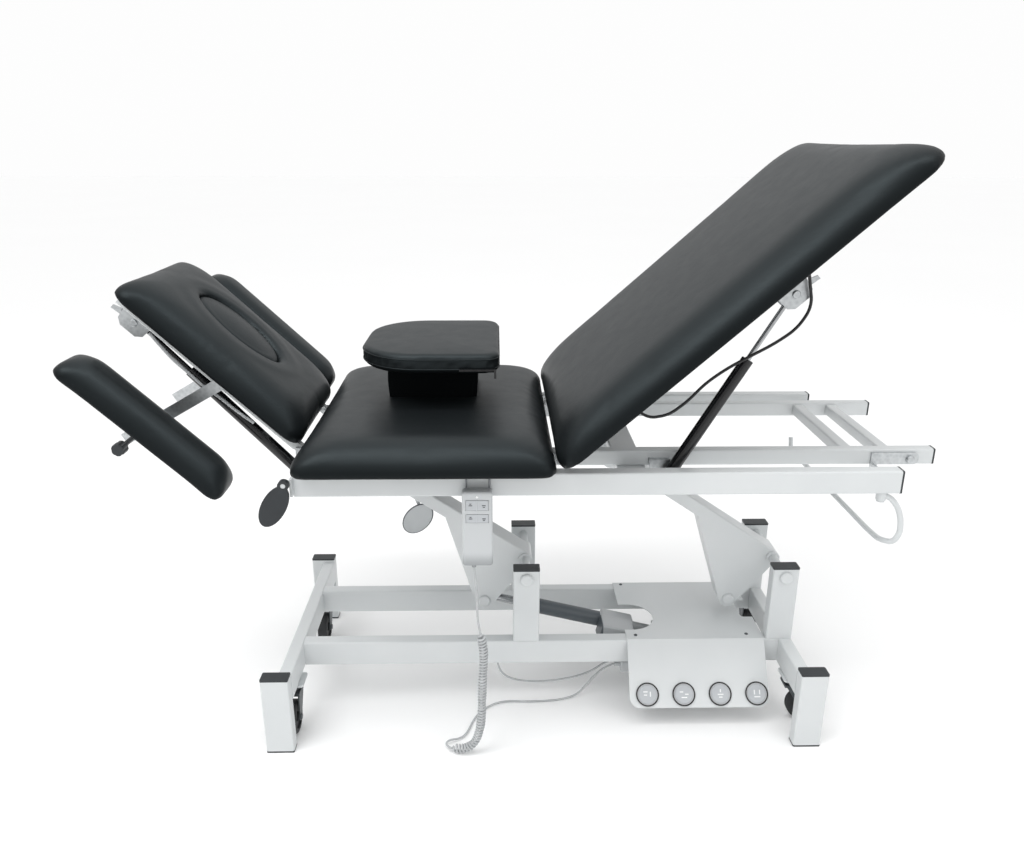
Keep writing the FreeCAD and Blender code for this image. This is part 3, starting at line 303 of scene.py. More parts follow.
    # moulded body, darker towards its foot from z 0.470 to 0.500, chrome wire above its top edge
    height = s.add("ShaderNodeSeparateXYZ")
    s.link(s.coords(), "Object", height, "Vector")
    lip = s.ramp(s.span(height, "Z", 0.0, 1.0), "Result", [(0.0, (0.30, 0.315, 0.325)), (1.0, (0.52, 0.54, 0.55))])
    lip.color_ramp.interpolation = "EASE"
    wire = s.add("ShaderNodeMath", operation="GREATER_THAN")
    wire.inputs[1].default_value = 0.6279
    s.link(height, "Z", wire, 0)
    shell = s.add("ShaderNodeMix", data_type="RGBA")
    shell.inputs["B"].default_value = (0.20, 0.21, 0.22, 1)
    s.link(lip, "Color", shell, "A")
    s.link(wire, "Value", shell, "Factor")
    s.link(shell, "Result", s.bsdf, "Base Color")
    s.link(wire, "Value", s.bsdf, "Metallic")
    ranged = lip.inputs["Fac"].links[0].from_node
    ranged.inputs["From Min"].default_value = 0.470
    ranged.inputs["From Max"].default_value = 0.500
    s.link(s.bump(s.noise(1300.0), "Fac", 0.00007, 0.4), "Normal", s.bsdf, "Normal")

    s = Shader("floor", (0.84, 0.84, 0.84), 0.6)
    s.mottle(s.noise(0.6, 2.0), "Fac", (0.975, 0.977, 0.977), (0.982, 0.984, 0.984))


nodeFinish = {
    "whiteSteel": ["base_frame", "base_uprights", "foot_cover", "lift_arm_left", "lift_arm_right", "lift_frame",
                   "top_frame", "head_frame", "back_frame", "paper_roll_rod", "arm_shafts"],
    "slatePlastic": ["tube_plugs", "rail_end_caps", "near_clamp_knob", "far_clamp_knob", "head_paddle"],
    "zincSteel": ["tilt_ears", "section_hinges", "head_fittings", "back_bracket", "near_armrest_sleeve",
                  "far_armrest_sleeve"],
    "rodSteel": ["actuator_rod", "back_strut_rod"],
    "blackEnamel": ["head_strut_rod", "head_strut_cylinder", "back_strut_cylinder"],
    "actuatorPaint": ["actuator_body"],
    "greyPlastic": ["control_box", "back_paddle"],
    "chrome": ["foot_switch_rings"],
    "keyPlastic": ["foot_button_1", "foot_button_2", "foot_button_3", "foot_button_4", "handset_rocker_upper",
                   "handset_rocker_lower"],
    "handsetShell": ["handset"],
    "greyCord": ["head_cable"],
    "blackCord": ["back_cable", "motor_cable"],
    "tyreBlack": ["caster_wheel_" + c for c in ("near_left", "far_left", "near_right", "far_right")],
    "forkSteel": ["caster_fork_" + c for c in ("near_left", "far_left", "near_right", "far_right")],
    "blackVinyl": ["seat_pad", "back_pad", "head_pad", "face_plug", "near_armrest_pad", "far_armrest_pad", "pillow",
                   "pillow_block"],
}


def dressNodes():
    for name, members in nodeFinish.items():
        for member in members:
            data = nodes[member].data
            data.materials.clear()
            data.materials.append(finish[name])


# mesh helpers
def meshObject(name, points, faces, material, smooth=True):
    data = bpy.data.meshes.new(name)
    data.from_pydata(np.asarray(points, float).reshape(-1, 3).tolist(), [], np.asarray(faces).tolist())
    data.validate()
    data.update()
    obj = bpy.data.objects.new(name, data)
    bpy.context.scene.collection.objects.link(obj)
    data.materials.append(material)
    if smooth:
        data.polygons.foreach_set("use_smooth", np.ones(len(data.polygons), bool))
    return obj


# Quads of a rows x cols grid of points, wrapping round its columns.
def gridFaces(rows, cols, closeCols=True):
    r = np.arange(rows - 1)[:, None]
    c = np.arange(cols if closeCols else cols - 1)[None, :]
    n = (c + 1) % cols
    quads = np.stack([r * cols + c, r * cols + n, (r + 1) * cols + n, (r + 1) * cols + c], axis=-1)
    return quads.reshape(-1, 4)


def mergeClose(obj, gap=1e-5):
    bm = bmesh.new()
    bm.from_mesh(obj.data)
    bmesh.ops.remove_doubles(bm, verts=bm.verts, dist=gap)
    bmesh.ops.recalc_face_normals(bm, faces=bm.faces)
    bm.to_mesh(obj.data)
    bm.free()
    obj.data.update()


# Points turned about the Y axis through hinge (x, z): x' = x cos a + z sin a, z' = -x sin a + z cos a.
def turnAbout(points, hinge, degrees):
    a = math.radians(degrees)
    p = np.array(points, float)
    dx, dz = p[..., 0] - hinge[0], p[..., 2] - hinge[1]
    p[..., 0] = hinge[0] + dx * math.cos(a) + dz * math.sin(a)
    p[..., 2] = hinge[1] - dx * math.sin(a) + dz * math.cos(a)
    return p


# cords
cordRoutes = {
    "handsetLead": [(-80, -296, 306), (-84.8, -296, 332), (-86, -296, 362), (-85, -296, 394), (-88, -295.5, 428),
                    (-91, -295, 459.7)],
    "handsetCoil": [(-148, -287, 10.5), (-130, -291, 10.6), (-110, -294, 16), (-93, -296, 33), (-84, -296, 62),
                    (-79, -296, 98), (-78, -296, 140), (-77, -296, 184), (-74, -296, 228), (-73, -296, 268),
                    (-80, -296, 306)],
    "floorCord": [(235, -84, 80), (213, -86, 72), (188, -91, 52), (166, -98, 27), (146, -106, 10), (122, -112, 4.2),
                  (92, -118, 3), (56, -121, 3), (20, -122, 3), (-14, -119, 3), (-44, -124, 3), (-68, -140, 3),
                  (-88, -162, 3), (-101, -188, 3), (-109, -216, 3.2), (-118, -240, 4), (-132, -254, 6.5),
                  (-148, -260, 9.5), (-158, -268, 10.5), (-158, -280, 10.5), (-148, -287, 10.5)],
    "motorCable": [(235, -66, 80), (213, -68, 72), (184, -72, 52), (150, -76, 40), (105, -80, 33), (60, -82, 30),
                   (20, -84, 33), (-14, -88, 44), (-34, -92, 62), (-44, -96, 88), (-46, -101, 114)],
}
cordSize = {"diameter": 0.0045, "coilRadius": 0.0073, "coilPitch": 0.0072, "taper": 0.014, "around": 10,
            "pointsPerTurn": 18}


# One open NURBS spline of order 3 through the route's control points, in metres.
def routeCurve(name, bevel):
    points = np.array(cordRoutes[name], float) / 1000.0
    curve = bpy.data.curves.new(name, "CURVE")
    curve.dimensions = "3D"
    curve.resolution_u = 12
    spline = curve.splines.new("NURBS")
    spline.points.add(len(points) - 1)
    spline.points.foreach_set("co", np.hstack([points, np.ones((len(points), 1))]).ravel())
    spline.order_u = 3
    spline.use_endpoint_u = True
    curve.bevel_depth = bevel
    curve.bevel_resolution = 4
    curve.use_fill_caps = bevel > 0
    obj = bpy.data.objects.new(name, curve)
    bpy.context.scene.collection.objects.link(obj)
    return obj


# Points a step apart along the route's own smooth line.
def routePoints(name, step):
    obj = routeCurve(name, 0.0)
    bpy.context.view_layer.update()
    data = bpy.data.meshes.new_from_object(obj)
    line = np.empty(len(data.vertices) * 3)
    data.vertices.foreach_get("co", line)
    line = line.reshape(-1, 3)
    bpy.data.objects.remove(obj)
    run = np.concatenate([[0], np.cumsum(np.linalg.norm(np.diff(line, axis=0), axis=1))])
    at = np.linspace(0, run[-1], max(8, int(run[-1] / step)))
    return np.stack([np.interp(at, run, line[:, k]) for k in range(3)], axis=1), run[-1]


def lineLength(points):
    return float(np.linalg.norm(np.diff(points, axis=0), axis=1).sum())


# Two unit vectors square to the line at each point, carried along without twist.
def carriedFrames(line):
    tangent = np.gradient(line, axis=0)
    tangent /= np.linalg.norm(tangent, axis=1)[:, None]
    side = np.cross(tangent[0], (0.0, 1.0, 0.3))
    sides = []
    for t in tangent:
        side = side - t * np.dot(side, t)
        side = side / np.linalg.norm(side)
        sides.append(side)
    sides = np.array(sides)
    return sides, np.cross(tangent, sides)


# A tube: point(s, a) = line(s) + r (cos a side(s) + sin a other(s)), with flat ends.
def tubeMesh(name, line, radius, around, material):
    side, other = carriedFrames(line)
    a = np.linspace(0, 2 * math.pi, around, endpoint=False)
    ring = radius * (np.cos(a)[None, :, None] * side[:, None, :] + np.sin(a)[None, :, None] * other[:, None, :])
    points = (line[:, None, :] + ring).reshape(-1, 3)
    faces = gridFaces(len(line), around).tolist()
    faces.append(list(range(around))[::-1])
    last = (len(line) - 1) * around
    faces.append([last + i for i in range(around)])
    data = bpy.data.meshes.new(name)
    data.from_pydata(points.tolist(), [], faces)
    data.update()
    obj = bpy.data.objects.new(name, data)
    bpy.context.scene.collection.objects.link(obj)
    data.polygons.foreach_set("use_smooth", np.ones(len(data.polygons), bool))
    data.materials.append(material)
    mergeClose(obj, 1e-7)
    return obj


def makeCords():
    r = cordSize["diameter"] / 2
    ends = {"handsetLead": ("handset", "handset_cord", -1, "hanging"),
            "floorCord": ("base", "floor_cord", 0, "loose"),
            "motorCable": ("base", "motor_cable", 0, "hanging")}
    for name, (body, node, exitAt, lay) in ends.items():
        line, length = routePoints(name, 0.01)
        obj = routeCurve(name, r)
        obj.data.materials.append(finish["greyCord"])
        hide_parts(node)
        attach(obj, body)
    # coiled lead: circle of the coil's radius carried along the route, one pitch per turn
    route, length = routePoints("handsetCoil", 0.0005)
    turns = round(length / cordSize["coilPitch"])
    count = turns * cordSize["pointsPerTurn"]
    at = np.linspace(0, 1, count)
    line = np.stack([np.interp(at, np.linspace(0, 1, len(route)), route[:, k]) for k in range(3)], axis=1)
    side, other = carriedFrames(line)
    angle = at * turns * 2 * math.pi
    edge = np.minimum(at, 1 - at) * length / cordSize["taper"]
    ease = np.clip(edge, 0, 1)
    loose = 1 + 0.05 * np.sin(at * 23.0) + 0.03 * np.sin(at * 61.0)
    swing = (cordSize["coilRadius"] * ease * ease * (3 - 2 * ease) * loose)[:, None]
    helix = line + swing * (np.cos(angle)[:, None] * side + np.sin(angle)[:, None] * other)
    coil = tubeMesh("handsetCoil", helix, r, cordSize["around"], finish["greyCord"])
    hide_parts("handset_coil")
    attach(coil, "base")
    print("cords made, coil length", round(lineLength(helix), 3))


# pads
# Each pad: plan limits, plan corner radius at the foot, height at the start of the crown, crown of the top,
# how far in the top rolls over, the roll's fullness, and the cloth's settings.
flatTilt = {"hinge": None, "tilt": 0.0}
backTilt = {"hinge": (0.083, 0.6543), "tilt": -41.84}
headTilt = {"hinge": (-0.4562, 0.6535), "tilt": 43.9}
padShapes = {
    "seatPad": {"node": "seat_pad", "body": "couch_frame", "x": (-0.444, 0.0755), "y": (-0.340, 0.340), "z": 0.662,
                "corner": 0.030, "height": 0.060, "crown": 0.006, "roll": 0.085, "full": 2.1, "voxel": 0.0072,
                "swell": 0.005, **flatTilt},
    "backPad": {"node": "back_pad", "body": "back_section", "x": (0.0885, 0.967), "y": (-0.340, 0.340), "z": 0.6633,
                "corner": 0.045, "height": 0.059, "crown": 0.007, "roll": 0.090, "full": 2.1, "voxel": 0.0080,
                "swell": 0.005, **backTilt},
    "headPad": {"node": "head_pad", "body": "head_section", "x": (-0.9342, -0.4660), "y": (-0.185, 0.185),
                "z": 0.6625, "corner": 0.036, "height": 0.055, "crown": 0.006, "roll": 0.075, "full": 2.1, "voxel": 0.0055,
                "swell": 0.004, **headTilt},
    "nearArmPad": {"node": "near_armrest_pad", "body": "near_armrest", "x": (-0.9027, -0.5147), "y": (-0.302, -0.192),
                   "z": 0.5205, "corner": 0.026, "height": 0.047, "crown": 0.003, "roll": 0.046, "full": 2.1,
                   "voxel": 0.0050, "swell": 0.003, **headTilt},
    "farArmPad": {"node": "far_armrest_pad", "body": "far_armrest", "x": (-0.8727, -0.4777), "y": (0.192, 0.302),
                  "z": 0.6575, "corner": 0.026, "height": 0.047, "crown": 0.003, "roll": 0.046, "full": 2.1,
                  "voxel": 0.0050, "swell": 0.003, **headTilt},
}
faceHole = {"centre": (-0.7182, 0.0), "halfLength": 0.107, "halfWidth": 0.066, "lip": 0.016, "drop": 0.011,
            "plugGap": 0.0012}


# Rounded rectangle drawn inset from its outline; its corner arcs grow wider as it goes in.
def outlineRing(half, corner, inset, arc=11, edge=21):
    a, b = max(half[0] - inset, 1e-5), max(half[1] - inset, 1e-5)
    r = min(corner + 0.40 * inset, a, b)
    quarter = np.linspace(0, math.pi / 2, arc)
    ring = []
    for k, (sx, sy) in enumerate(((-1, -1), (1, -1), (1, 1), (-1, 1))):
        t = quarter + math.pi + k * math.pi / 2
        ring.append(np.stack([sx * (a - r) + r * np.cos(t), sy * (b - r) + r * np.sin(t)], axis=1))
    joined = []
    for k in range(4):
        run = np.linspace(0, 1, edge + 2)[1:-1, None]
        joined += [ring[k], ring[k][-1] * (1 - run) + ring[(k + 1) % 4][0] * run]
    return np.concatenate(joined)


# (inset, height) pairs: flat foot, a small rounded lip, then a superellipse from the lip up to the crown.
def padProfile(p, deepest):
    lip, roll, height, n = 0.005, min(p["roll"], 0.86 * deepest), p["height"], p["full"]
    foot = [(d, 0.0) for d in np.linspace(deepest, lip + 0.004, 9)]
    a = np.linspace(0, math.pi / 2, 5)
    low = [(lip * (1 - math.sin(t)), lip * (1 - math.cos(t))) for t in a]
    b = np.linspace(0, math.pi / 2, 15)[1:]
    rise = [(roll * (1 - math.cos(t) ** (2 / n)), lip + (height - lip) * math.sin(t) ** (2 / n)) for t in b]
    top = [(d, height) for d in np.linspace(roll, deepest, 15)[1:]]
    pairs = np.array(foot + low + rise + top)
    inward = np.clip((pairs[:, 0] - 0.3 * roll) / (deepest - 0.3 * roll), 0, 1)
    onTop = np.arange(len(pairs)) >= len(foot) + len(low)
    pairs[:, 1] += np.where(onTop, p["crown"] * (1 - (1 - inward) ** 2.4), 0)
    return pairs


def padMesh(name, p):
    half = ((p["x"][1] - p["x"][0]) / 2, (p["y"][1] - p["y"][0]) / 2)
    centre = (sum(p["x"]) / 2, sum(p["y"]) / 2)
    deepest = min(half) - 1e-5
    pairs = padProfile(p, deepest)
    rings = [np.column_stack([outlineRing(half, p["corner"], d), np.full(128, z)]) for d, z in pairs]
    points = np.array(rings) + np.array([centre[0], centre[1], p["z"]])
    obj = meshObject(name, points, gridFaces(len(pairs), 128), finish["blackVinyl"])
    mergeClose(obj, 2e-5)
    return obj


def readPoints(data):
    flat = np.empty(len(data.vertices) * 3)
    data.vertices.foreach_get("co", flat)
    return flat.reshape(-1, 3)


def writePoints(data, points):
    data.vertices.foreach_set("co", np.ascontiguousarray(points, float).ravel())
    data.update()


# Cloth under gentle inner pressure; each point moves at most cap from where it started.
def inflate(obj, voxel, cap, pressure=4.0, frames=20):
    remesh = obj.modifiers.new("remesh", "REMESH")
    remesh.mode = "VOXEL"
    remesh.voxel_size = voxel
    remesh.use_smooth_shade = True
    bpy.context.view_layer.update()
    deps = bpy.context.evaluated_depsgraph_get()
    data = bpy.data.meshes.new_from_object(obj.evaluated_get(deps))
    obj.modifiers.clear()
    obj.data = data
    before = readPoints(data).copy()
    cloth = obj.modifiers.new("cloth", "CLOTH")
    cloth.settings.quality = 4
    cloth.settings.mass = 0.3
    cloth.settings.tension_stiffness = 22
    cloth.settings.compression_stiffness = 22
    cloth.settings.shear_stiffness = 10
    cloth.settings.bending_stiffness = 1.2
    cloth.settings.use_pressure = True
    cloth.settings.uniform_pressure_force = pressure
    cloth.settings.effector_weights.gravity = 0
    cloth.collision_settings.use_collision = False
    cloth.collision_settings.use_self_collision = False
    scene = bpy.context.scene
    cloth.point_cache.frame_start = 1
    cloth.point_cache.frame_end = frames
    for k in range(1, frames + 1):
        scene.frame_set(k)
    deps = bpy.context.evaluated_depsgraph_get()
    done = bpy.data.meshes.new_from_object(obj.evaluated_get(deps))
    obj.modifiers.clear()
    scene.frame_set(1)
    after = readPoints(done)
    move = after - before
    far = np.linalg.norm(move, axis=1)[:, None]
    writePoints(done, before + move * np.minimum(1.0, cap / np.maximum(far, 1e-9)))
    obj.data = done
    return obj


def smoothTwice(obj, rounds=2, factor=0.5):
    mod = obj.modifiers.new("soften", "SMOOTH")
    mod.factor = factor
    mod.iterations = rounds
    applyAll(obj)


def applyAll(obj):
    bpy.context.view_layer.update()
    deps = bpy.context.evaluated_depsgraph_get()
    data = bpy.data.meshes.new_from_object(obj.evaluated_get(deps))
    obj.modifiers.clear()
    obj.data = data
    data.polygons.foreach_set("use_smooth", np.ones(len(data.polygons), bool))
    return obj


def subdivide(obj, levels=1):
    mod = obj.modifiers.new("subdivide", "SUBSURF")
    mod.levels = levels
    mod.render_levels = levels
    return applyAll(obj)


# Signed distance, near enough, of each point's (x, y) from the face hole's rim; negative inside.
def ellipseReach(points):
    cx, cy = faceHole["centre"]
    dx, dy = points[:, 0] - cx, points[:, 1] - cy
    u, v = dx / faceHole["halfLength"], dy / faceHole["halfWidth"]
    k = np.sqrt(u * u + v * v) + 1e-9
    return (k - 1) * np.sqrt(dx * dx + dy * dy) / k


# The top rolls down towards the rim, then an oval shaft is cut through.
def cutFaceHole(obj):
    points = readPoints(obj.data)
    reach = ellipseReach(points)
    top = np.clip((points[:, 2] - (0.6625 + 0.030)) / 0.016, 0, 1)
    near = np.clip(1 - reach / faceHole["lip"], 0, 1)
    points[:, 2] -= top * faceHole["drop"] * (1 - np.sqrt(np.clip(1 - near ** 2, 0, 1)))
    swell = np.exp(-((reach - 0.034) / 0.018) ** 2)
    points[:, 2] += top * 0.0022 * swell
    writePoints(obj.data, points)
    t = np.linspace(0, 2 * math.pi, 96, endpoint=False)
    cx, cy = faceHole["centre"]
    ring = np.stack([cx + faceHole["halfLength"] * np.cos(t), cy + faceHole["halfWidth"] * np.sin(t)], axis=1)
    low = np.column_stack([ring, np.full(96, 0.6400)])
    high = np.column_stack([ring, np.full(96, 0.7600)])
    faces = gridFaces(2, 96).tolist() + [list(range(96))[::-1], list(range(96, 192))]
    data = bpy.data.meshes.new("shaft")
    data.from_pydata(np.concatenate([low, high]).tolist(), [], faces)
    shaft = bpy.data.objects.new("shaft", data)
    bpy.context.scene.collection.objects.link(shaft)
    mod = obj.modifiers.new("hole", "BOOLEAN")
    mod.operation = "DIFFERENCE"
    mod.solver = "EXACT"
    mod.object = shaft
    applyAll(obj)
    bpy.data.objects.remove(shaft)


# Per-point attribute that runs from 0 at the pad's foot to 1 at its top; the vinyl shaders read it for painted shade
# that darkens the colour towards the foot.
def addRise(data, low, height):
    z = readPoints(data)[:, 2]
    layer = data.attributes.get("rise") or data.attributes.new("rise", "FLOAT", "POINT")
    layer.data.foreach_set("value", np.clip((z - low) / height, 0, 1))


def makePads():
    for name, p in padShapes.items():
        obj = padMesh(name, p)
        inflate(obj, p["voxel"], p["swell"])
        smoothTwice(obj, 3)
        # the foot stays flat on its board, and nothing leaves the pad's own space
        points = readPoints(obj.data)
        points[:, 2] = np.maximum(points[:, 2], p["z"])
        points[:, 0] = np.clip(points[:, 0], p["x"][0], p["x"][1])
        points[:, 1] = np.clip(points[:, 1], p["y"][0], p["y"][1])
        writePoints(obj.data, points)
        subdivide(obj)
        if name == "headPad":
            cutFaceHole(obj)
        addRise(obj.data, p["z"], p["height"] + p["crown"])
        if p["hinge"]:
            writePoints(obj.data, turnAbout(readPoints(obj.data), p["hinge"], p["tilt"]))
        obj.data.materials.clear()
        obj.data.materials.append(finish["blackVinyl"])
        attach(obj, p["body"])
        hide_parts(p["node"])
        print("pad", name, len(obj.data.vertices), "points")


plug = {"rings": 26, "around": 96, "low": 0.0005, "high": 0.060, "crown": 0.007, "roll": 0.013}


# Oval column: (k a cos t, k b sin t, h), with k and h following a profile rolled over at the top.
def makePlug():
    p, hole = plug, faceHole
    a, b = hole["halfLength"] - hole["plugGap"], hole["halfWidth"] - hole["plugGap"]
    t = np.linspace(0, 2 * math.pi, p["around"], endpoint=False)
    profile = [(k, p["low"]) for k in np.linspace(0.0005, 0.97, 6)]
    profile += [(0.99, p["low"] + 0.001), (1.0, p["low"] + 0.004)]
    profile += [(1.0, h) for h in np.linspace(p["low"] + 0.012, p["high"] - p["roll"], 6)]
    inset = p["roll"] / b
    profile += [(1 - inset * (1 - math.cos(q)), p["high"] - p["roll"] * (1 - math.sin(q)))
                for q in np.linspace(0, math.pi / 2, 9)[1:]]
    for k in np.linspace(1 - inset, 0.0005, 12)[1:]:
        profile.append((k, p["high"] + p["crown"] * (1 - (k / (1 - inset)) ** 2.2)))
    profile = np.array(profile)
    k, h = profile[:, 0][:, None], profile[:, 1][:, None]
    x = hole["centre"][0] + k * a * np.cos(t)[None, :]
    y = hole["centre"][1] + k * b * np.sin(t)[None, :]
    z = 0.6625 + h + 0 * x
    points = np.stack([x, y, z], axis=-1).reshape(-1, 3)
    obj = meshObject("facePlug", points, gridFaces(len(profile), p["around"]), finish["blackVinyl"])
    mergeClose(obj, 4e-4 * 0.2)
    addRise(obj.data, 0.6625, 0.066)
    writePoints(obj.data, turnAbout(readPoints(obj.data), padShapes["headPad"]["hinge"], 43.9))
    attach(obj, "plug")
    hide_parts("face_plug")
    print("face plug made")


# pillow on its block
pillow = {"x": (-0.334, -0.038), "y": (-0.137, 0.220), "z": (0.815, 0.857), "leftCorner": 0.130, "rightCorner": 0.034,
          "roll": 0.014, "crown": 0.004}


# D-shaped outline drawn inset: big arcs at the left, small arcs at the right, evenly spaced by length.
def pillowRing(inset, count=220):
    x0, x1 = pillow["x"][0] + inset, pillow["x"][1] - inset
    y0, y1 = pillow["y"][0] + inset, pillow["y"][1] - inset
    big = max(pillow["leftCorner"] - inset, 1e-4)
    small = max(pillow["rightCorner"] - 0.6 * inset, 1e-4)
    limit = 0.499 * min(x1 - x0, y1 - y0)
    big, small = min(big, limit), min(small, limit)
    q = np.linspace(0, math.pi / 2, 24)
    arcs = []
    for cx, cy, r, start in ((x1 - small, y0 + small, small, 1.5), (x1 - small, y1 - small, small, 0.0),
                             (x0 + big, y1 - big, big, 0.5), (x0 + big, y0 + big, big, 1.0)):
        a = q + start * math.pi
        arcs.append(np.stack([cx + r * np.cos(a), cy + r * np.sin(a)], axis=1))
    loop = np.concatenate(arcs + [arcs[0][:1]])
    run = np.concatenate([[0], np.cumsum(np.linalg.norm(np.diff(loop, axis=0), axis=1))])
    at = np.linspace(0, run[-1], count, endpoint=False)
    return np.stack([np.interp(at, run, loop[:, k]) for k in range(2)], axis=1)


def makePillow():
    p = pillow
    low, high = p["z"]
    deepest = 0.146
    r = p["roll"]
    side = []
    for d in np.linspace(deepest, r, 16):
        side.append((d, low))
    for a in np.linspace(0, math.pi / 2, 7)[1:]:
        side.append((r * (1 - math.sin(a)), low + r * (1 - math.cos(a))))
    # two seams round the band: the band dips by a bell of the height
    for z in np.linspace(low + r, high - r, 9)[1:-1]:
        side.append((0.0, z))
    for a in np.linspace(0, math.pi / 2, 7):
        side.append((r * (1 - math.cos(a)), high - r + r * math.sin(a)))
    for d in np.linspace(r, deepest, 20)[1:]:
        side.append((d, high + p["crown"] * (1 - ((deepest - d) / (deepest - r)) ** 2.5)))
    rings = []
    for d, z in side:
        ring = pillowRing(d)
        rings.append(np.column_stack([ring, np.full(len(ring), z)]))
    points = np.array(rings)
    # cloth-like puckers of the band: a slow and a quick wave round the outline, strongest at half height
    turn = np.linspace(0, 2 * math.pi, points.shape[1], endpoint=False)[None, :]
    level = (points[:, :, 2] - low) / (high - low)
    band = np.exp(-((level - 0.45) / 0.35) ** 2)
    wave = 0.0011 * np.sin(9 * turn + 5 * level) + 0.0008 * np.sin(31 * turn - 9 * level) + 0.0005 * np.sin(57 * turn)
    centre = np.array([sum(p["x"]) / 2, sum(p["y"]) / 2])
    away = points[:, :, :2] - centre
    away = away / np.maximum(np.linalg.norm(away, axis=2, keepdims=True), 1e-6)
    points[:, :, :2] += away * (band * (wave - 0.0012))[:, :, None]
    obj = meshObject("pillowBody", points, gridFaces(len(side), points.shape[1]), finish["pillowVinyl"])
    data = obj.data
    bm = bmesh.new()
    bm.from_mesh(data)
    for rim in (True, False):
        open_edges = [e for e in bm.edges if e.is_boundary and (e.verts[0].co.z > (low + high) / 2) == rim]
        bmesh.ops.holes_fill(bm, edges=open_edges, sides=0)
    bmesh.ops.recalc_face_normals(bm, faces=bm.faces)
    bm.to_mesh(data)
    bm.free()
    addRise(data, low, high - low)
    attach(obj, "head_pillow")
    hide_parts("pillow")
    # piping along the two seams of the band
    for name, z in (("pillowPipingLow", low + 0.011), ("pillowPipingTop", high - 0.011)):
        ring = pillowRing(0.0006, 260)
        line = np.column_stack([ring, np.full(len(ring), z)])
        ringTube(name, line, 0.0015, 8, finish["pillowVinyl"], "head_pillow")
    print("pillow made")


# Closed tube along a flat loop: line + r (cos a outward + sin a up).
def ringTube(name, line, radius, around, material, body, up=(0.0, 0.0, 1.0)):
    ahead = np.roll(line, -1, axis=0) - np.roll(line, 1, axis=0)
    ahead /= np.linalg.norm(ahead, axis=1)[:, None]
    up = np.array(up)
    out = np.cross(ahead, up)
    out /= np.linalg.norm(out, axis=1)[:, None]
    a = np.linspace(0, 2 * math.pi, around, endpoint=False)
    points = line[:, None, :] + radius * (np.cos(a)[None, :, None] * out[:, None, :]
                                          + np.sin(a)[None, :, None] * up[None, None, :])
    points = np.concatenate([points, points[:1]])
    obj = meshObject(name, points, gridFaces(len(points), around), material)
    mergeClose(obj, 1e-6)
    addRise(obj.data, line[0, 2] - 0.02, 0.03)
    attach(obj, body)
    return obj


# Box with rounded plan corners and rolled rims, as rings of an inset outline.
def roundedSlab(name, x, y, z, corner, edge, material, puff=0.0):
    half = ((x[1] - x[0]) / 2, (y[1] - y[0]) / 2)
    centre = np.array([sum(x) / 2, sum(y) / 2, 0.0])
    deepest = min(half) - 1e-5
    pairs = [(d, z[0]) for d in np.linspace(deepest, edge, 7)]
    pairs += [(edge * (1 - math.sin(a)), z[0] + edge * (1 - math.cos(a))) for a in np.linspace(0, math.pi / 2, 6)[1:]]
    tall = z[1] - z[0] - 2 * edge
    pairs += [(-puff * math.sin(math.pi * k / 7), z[0] + edge + tall * k / 7) for k in range(1, 7)]
    pairs += [(edge * (1 - math.cos(a)), z[1] - edge * (1 - math.sin(a))) for a in np.linspace(0, math.pi / 2, 6)]
    pairs += [(d, z[1]) for d in np.linspace(edge, deepest, 7)[1:]]
    rings = [np.column_stack([outlineRing(half, corner, d), np.full(128, h)]) for d, h in pairs]
    obj = meshObject(name, np.array(rings) + centre, gridFaces(len(pairs), 128), material)
    mergeClose(obj, 2e-5)
    return obj


def makePillowBlock():
    obj = roundedSlab("pillowBase", (-0.282, -0.088), (-0.022, 0.150), (0.7265, 0.8145), 0.014, 0.006,
                      finish["underCloth"], 0.002)
    # rise read from 0.70 over 0.3 m keeps the whole block in the darker part of the vinyl's painted shade, as shade
    # under the pillow
    addRise(obj.data, 0.70, 0.3)
    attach(obj, "pillow_base")
    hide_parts("pillow_block")


zipper = {"from": (-0.120, -0.1385, 0.8250), "to": (-0.047, -0.1385, 0.8250), "pitch": 0.0022}


# A tape, a row of teeth and a hanging pull at the pillow's front right.
def makeZip():
    a, b = np.array(zipper["from"]), np.array(zipper["to"])
    tape = roundedSlab("zipTape", (a[0], b[0]), (a[1] - 0.0004, a[1] + 0.002), (a[2] - 0.0045, a[2] + 0.0045), 0.0004,
                       0.0003, finish["underCloth"])
    # rise read from 0.8 over 0.1 m keeps the tape in the darker part of the vinyl's painted shade
    addRise(tape.data, 0.8, 0.1)
    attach(tape, "head_pillow")
    count = int((b[0] - a[0]) / zipper["pitch"])
    cube = np.array([(sx, sy, sz) for sx in (-1, 1) for sy in (-1, 1) for sz in (-1, 1)], float)
    cube *= np.array([0.0007, 0.0006, 0.0022])
    quads = np.array([(0, 1, 3, 2), (4, 6, 7, 5), (0, 4, 5, 1), (2, 3, 7, 6), (0, 2, 6, 4), (1, 5, 7, 3)])
    at = np.linspace(a, b, count)[:, None, :] + np.array([0, -0.0007, 0])
    points = (at + cube[None, :, :]).reshape(-1, 3)
    faces = (quads[None, :, :] + 8 * np.arange(count)[:, None, None]).reshape(-1, 4)
    teeth = meshObject("zipTeeth", points, faces, finish["blackEnamel"], smooth=False)
    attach(teeth, "head_pillow")
    pull = roundedSlab("zipPull", (b[0] - 0.0022, b[0] + 0.0022), (a[1] - 0.0030, a[1] - 0.0012),
                       (a[2] - 0.017, a[2] + 0.002), 0.0008, 0.0006, finish["blackEnamel"])
    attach(pull, "head_pillow")


# small parts seen on the frame
# Local (u, v, w) points carried to centre + u side + v up + w out.
def placed(points, centre, side, up, out):
    p = np.asarray(points, float)
    axes = np.array([side, up, out], float)
    return np.asarray(centre, float) + p @ axes


